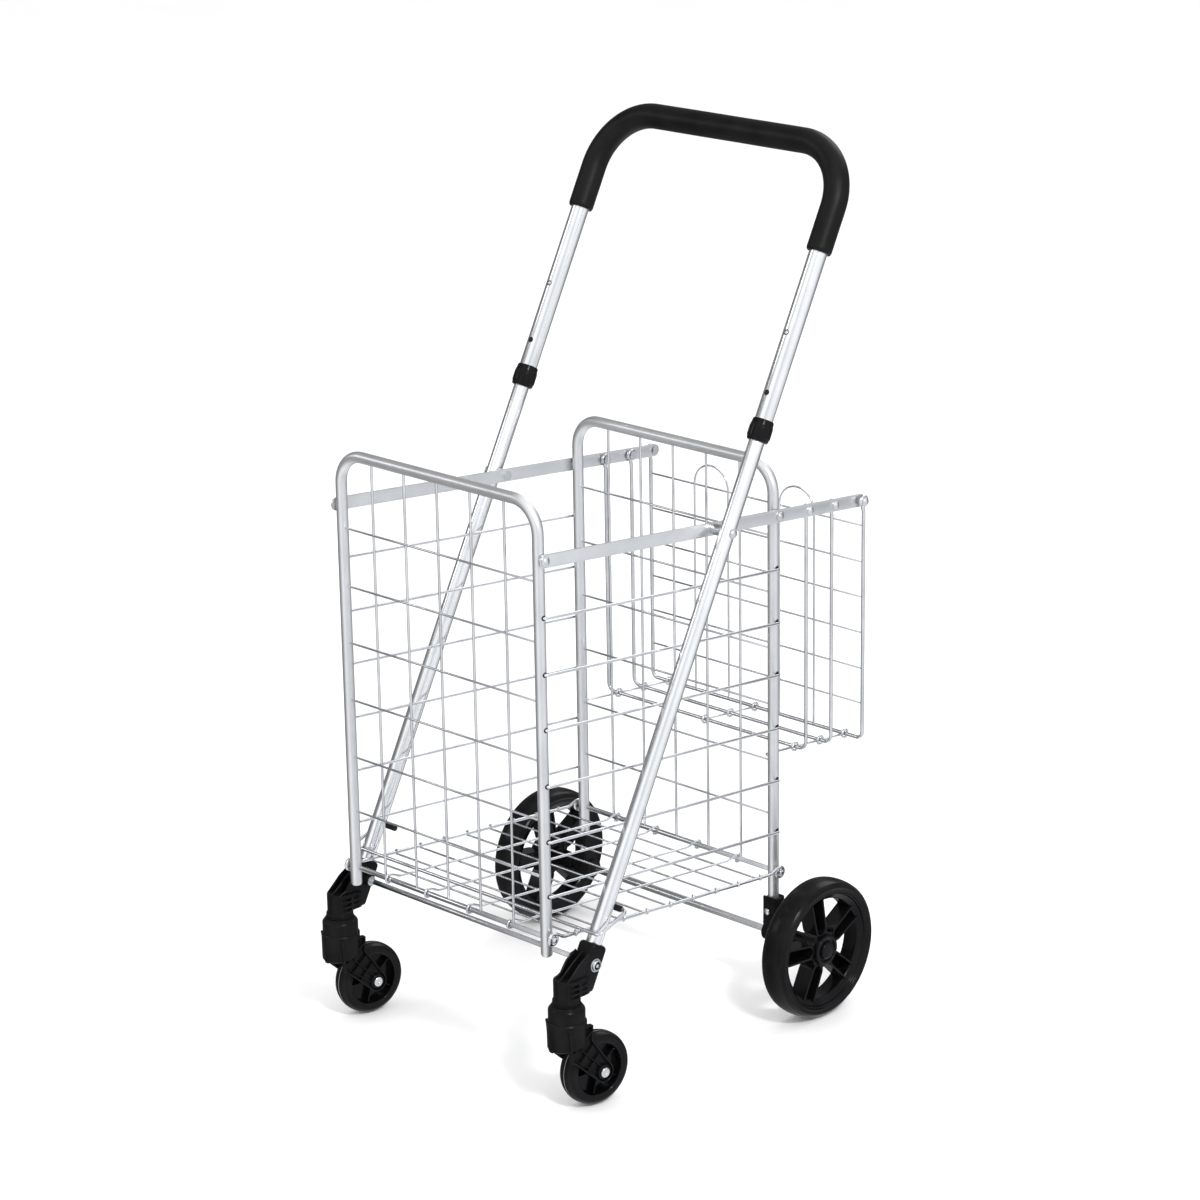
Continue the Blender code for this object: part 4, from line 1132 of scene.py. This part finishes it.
# ---- rear wheels
def rear_wheel(side, label):
    place = Matrix.Translation((0.0, AXLE_Y, WHEEL_R))
    if side < 0:
        place = MIRROR @ place
    middle = place @ Matrix.Translation((WHEEL_MID_X, 0.0, 0.0))
    tread = soft_outline(
        [
            (-0.0168, 0.0728), (-0.0178, 0.0745), (-0.0178, 0.0770), (-0.0140, 0.0808),
            (-0.0070, 0.0826), (0.0, WHEEL_R), (0.0070, 0.0826), (0.0140, 0.0808), (0.0160, 0.0788),
            (0.0166, 0.0782), (0.0178, 0.0768), (0.0178, 0.0745), (0.0168, 0.0728)
        ],
        0.0030, 4
    )
    body = f"rear_wheel_{label}_body"
    tyre_mesh = moved(lathe(tread, 144, 25.0), middle)
    piece(f"tyre_{label}", tyre_mesh, TYRE_RUBBER, body, f"rear_tyre_{label}")
    rim = soft_outline(
        [
            (-0.0165, 0.0735), (-0.0165, 0.0705), (-0.0150, 0.0690), (-0.0120, 0.0625),
            (-0.0100, 0.0606), (0.0080, 0.0606), (0.0092, 0.0616), (0.0125, 0.0672), (0.0150, 0.0680),
            (0.0158, 0.0690), (0.0150, 0.0700), (0.0168, 0.0708), (0.0174, 0.0720), (0.0165, 0.0735)
        ],
        0.0006, 3
    )
    parts = [moved(lathe(rim, 144), middle)]
    hub = soft_outline(
        [
            (0.1715, 0.0045), (0.1715, 0.0100), (0.2080, 0.0112), (0.2090, 0.0180), (0.2318, 0.0184),
            (0.2334, 0.0178), (0.2338, 0.0160), (0.2334, 0.0136), (0.2312, 0.0132), (0.2310, 0.0108),
            (0.2346, 0.0104), (0.2362, 0.0084), (0.2364, 0.0040), (0.2365, 0.0)
        ],
        0.0008, 3
    )
    hub = [(0.1715, 0.0)] + hub
    parts.append(moved(lathe(hub, 72), place))
    for count in range(5):
        turn = Matrix.Rotation(math.tau * (count + 0.15) / 5, 4, "X")
        width = 0.0080
        foot = 0.0268
        path = [(-width - 0.0012, 0.0625)]
        path += arc(0.0, foot, width, 180, 360, 10)
        path.append((width + 0.0012, 0.0625))
        rib = wall(path, 0.0026, -0.0105, 0.0112, 0.0006)
        parts.append(moved(rib, middle @ turn))
        pocket = [(-width, 0.0625)] + path[1:-1] + [(width, 0.0625)]
        back = prism(pocket, -0.0085, -0.0060, 0.0003, 1)
        parts.append(moved(back, middle @ turn))
        half_turn = Matrix.Rotation(math.tau * (count + 0.65) / 5, 4, "X")
        web = prism(
            [(-0.0085, 0.0150), (-0.0105, 0.0232), (0.0, 0.0205), (0.0105, 0.0232), (0.0085, 0.0150)],
            -0.0100, 0.0104, 0.0005, 1
        )
        parts.append(moved(web, middle @ half_turn))
    piece(f"wheel_{label}", joined(*parts), WHEEL_PLASTIC, body, f"rear_wheel_{label}")


def bracket(side, label):
    x = side * LEG_X
    middle_y = REAR_Y + 0.0006
    outline = [(-0.0088, 0.0780), (0.0088, 0.0780), (0.0088, 0.1305), (0.0060, 0.1305)]
    outline += [(0.0050, 0.1288), (-0.0050, 0.1288), (-0.0060, 0.1305), (-0.0088, 0.1305)]
    sleeve = prism([(middle_y + y, z) for y, z in outline], x - 0.0092, x + 0.0092, 0.0014, 3)
    boss = both_sides([(-0.0130, 0.0), (-0.0130, 0.0102), (-0.0120, 0.0114)])
    boss = shifted(lathe(boss, 56), x, AXLE_Y, WHEEL_R)
    ribs = []
    for z in (0.0975, 0.1020):
        ribs.append(block((0.0190, 0.0182, 0.0014), (x, middle_y, z), 0.0005))
    piece(
        f"bracket_{label}", joined(sleeve, boss, *ribs), BLACK_PLASTIC, "rear_frame",
        f"rear_bracket_{label}"
    )
    screw = lathe(
        [(-0.001, 0.0), (-0.001, 0.0040), (0.0003, 0.0040)] + dome(0.0003, 0.0036, 0.0016), 32
    )
    turn = Matrix.Rotation(-math.pi / 2, 4, "Z")
    place = Matrix.Translation((x - side * 0.0030, middle_y - 0.0089, 0.1117))
    piece(f"bracket_screw_{label}", moved(screw, place @ turn), BOLT_ZINC, "rear_frame")


for side, label in SIDES:
    rear_wheel(side, label)
    bracket(side, label)
piece("axle", rod_across(0.2300, AXLE_Y, WHEEL_R, 0.004, 28), BOLT_ZINC, "rear_frame", "rear_axle")

# ---- latch bail
bail_path = rounded(
    [
        (-0.1740, BAIL_TIP_Y, BAIL_TIP_Z), (-BAIL_ARM_X, BAIL_TIP_Y, BAIL_TIP_Z),
        (-BAIL_ARM_X, BAIL_Y, BAIL_Z), (BAIL_ARM_X, BAIL_Y, BAIL_Z),
        (BAIL_ARM_X, BAIL_TIP_Y, BAIL_TIP_Z), (0.1740, BAIL_TIP_Y, BAIL_TIP_Z)
    ],
    0.006, 10
)
piece("bail", rods([bail_path], BAIL_R, 20), WIRE_ZINC, "latch", "latch_bail")
for side, label in SIDES:
    outline = [(0.0, 0.0), (0.0, 0.0026), (0.0006, BAIL_TIP_R)]
    outline += [(0.0165, BAIL_TIP_R), (0.0182, 0.0030), (0.0182, 0.0)]
    cap = sided(shifted(lathe(outline, 32), 0.1722, BAIL_TIP_Y, BAIL_TIP_Z), side)
    piece(f"bail_tip_{label}", cap, VINYL, "latch")


# ---- floor, light and camera
def studio_world():
    """White all round; what shiny surfaces mirror also has the darker sides of a studio."""
    world = bpy.data.worlds.new("studio")
    bpy.context.scene.world = world
    world.use_nodes = True
    nodes = world.node_tree.nodes
    links = world.node_tree.links
    plain = nodes["Background"]
    plain.inputs["Color"].default_value = (1.0, 1.0, 1.0, 1.0)
    plain.inputs["Strength"].default_value = 1.06
    where = nodes.new("ShaderNodeTexCoord")
    split = nodes.new("ShaderNodeSeparateXYZ")
    links.new(where.outputs["Generated"], split.inputs["Vector"])
    place = nodes.new("ShaderNodeMapRange")
    place.inputs["From Min"].default_value = -1.0
    links.new(split.outputs["X"], place.inputs["Value"])
    ramp = nodes.new("ShaderNodeValToRGB")
    stops = ramp.color_ramp.elements
    stops[0].position = 0.168
    stops[0].color = (0.16, 0.16, 0.165, 1.0)
    stops[1].position = 1.0
    stops[1].color = (0.92, 0.92, 0.92, 1.0)
    for position, shade in (
        (0.215, (0.28, 0.28, 0.29)), (0.300, (0.55, 0.55, 0.57)), (0.400, (0.98, 0.98, 0.98)),
        (0.700, (0.96, 0.96, 0.96)), (0.790, (0.56, 0.59, 0.65)), (0.860, (0.66, 0.69, 0.74))
    ):
        stop = stops.new(position)
        stop.color = (*shade, 1.0)
    links.new(place.outputs["Result"], ramp.inputs["Fac"])
    mirrored_room = nodes.new("ShaderNodeBackground")
    links.new(ramp.outputs["Color"], mirrored_room.inputs["Color"])
    behind = nodes.new("ShaderNodeMapRange")
    behind.interpolation_type = "SMOOTHSTEP"
    for socket, value in (("From Min", 0.73), ("From Max", 0.82), ("To Min", 1.22), ("To Max", 0.30)):
        behind.inputs[socket].default_value = value
    links.new(split.outputs["Y"], behind.inputs["Value"])
    links.new(behind.outputs["Result"], mirrored_room.inputs["Strength"])
    ray = nodes.new("ShaderNodeLightPath")
    mix = nodes.new("ShaderNodeMixShader")
    links.new(ray.outputs["Is Glossy Ray"], mix.inputs["Fac"])
    links.new(plain.outputs["Background"], mix.inputs[1])
    links.new(mirrored_room.outputs["Background"], mix.inputs[2])
    links.new(mix.outputs["Shader"], nodes["World Output"].inputs["Surface"])


def floor_and_light():
    graph = Graph("pale_floor")
    broad = graph.noise(3.0, 2.0)
    shade = graph.mix(graph.ramp(broad, 0.0, 1.0), (0.94, 0.94, 0.94), (0.955, 0.955, 0.955))
    graph.set("Base Color", shade)
    graph.set("Roughness", 0.7)
    graph.set("Specular IOR Level", 0.15)
    work = bmesh.new()
    bmesh.ops.create_grid(work, x_segments=8, y_segments=8, size=14.0)
    floor = add_object("floor", finish_mesh(work))
    floor.data.materials.append(graph.material)
    floor.visible_glossy = False

    studio_world()

    for name, place, size, power in (
        ("key", (3.2, -1.2, 3.4), 0.7, 95.0), ("fill", (-3.2, -2.6, 2.4), 1.4, 16.0),
        ("back", (-0.8, 3.4, 2.8), 2.4, 30.0)
    ):
        lamp = bpy.data.lights.new(name, "AREA")
        lamp.shape = "DISK"
        lamp.size = size
        lamp.energy = power
        holder = add_object(name, lamp)
        holder.location = place
        aim = Vector((0.0, 0.0, 0.45)) - Vector(place)
        holder.rotation_euler = aim.to_track_quat("-Z", "Y").to_euler()


def camera():
    eye = Vector((2.7950, -2.8872, 1.8083))
    target = Vector((0.0509, -0.0523, 0.5152))
    roll = math.radians(-0.925)
    ahead = (target - eye).normalized()
    right = ahead.cross(Z_AXIS).normalized()
    up = right.cross(ahead)
    x_axis = right * math.cos(roll) + up * math.sin(roll)
    y_axis = up * math.cos(roll) - right * math.sin(roll)
    data = bpy.data.cameras.new("camera")
    data.sensor_width = 36.0
    data.lens = 111.138
    data.clip_end = 60.0
    holder = add_object("camera", data)
    rotation = Matrix((x_axis, y_axis, -ahead)).transposed().to_4x4()
    holder.matrix_world = Matrix.Translation(eye) @ rotation
    bpy.context.scene.camera = holder


floor_and_light()
camera()
bpy.context.scene.view_settings.view_transform = "Standard"
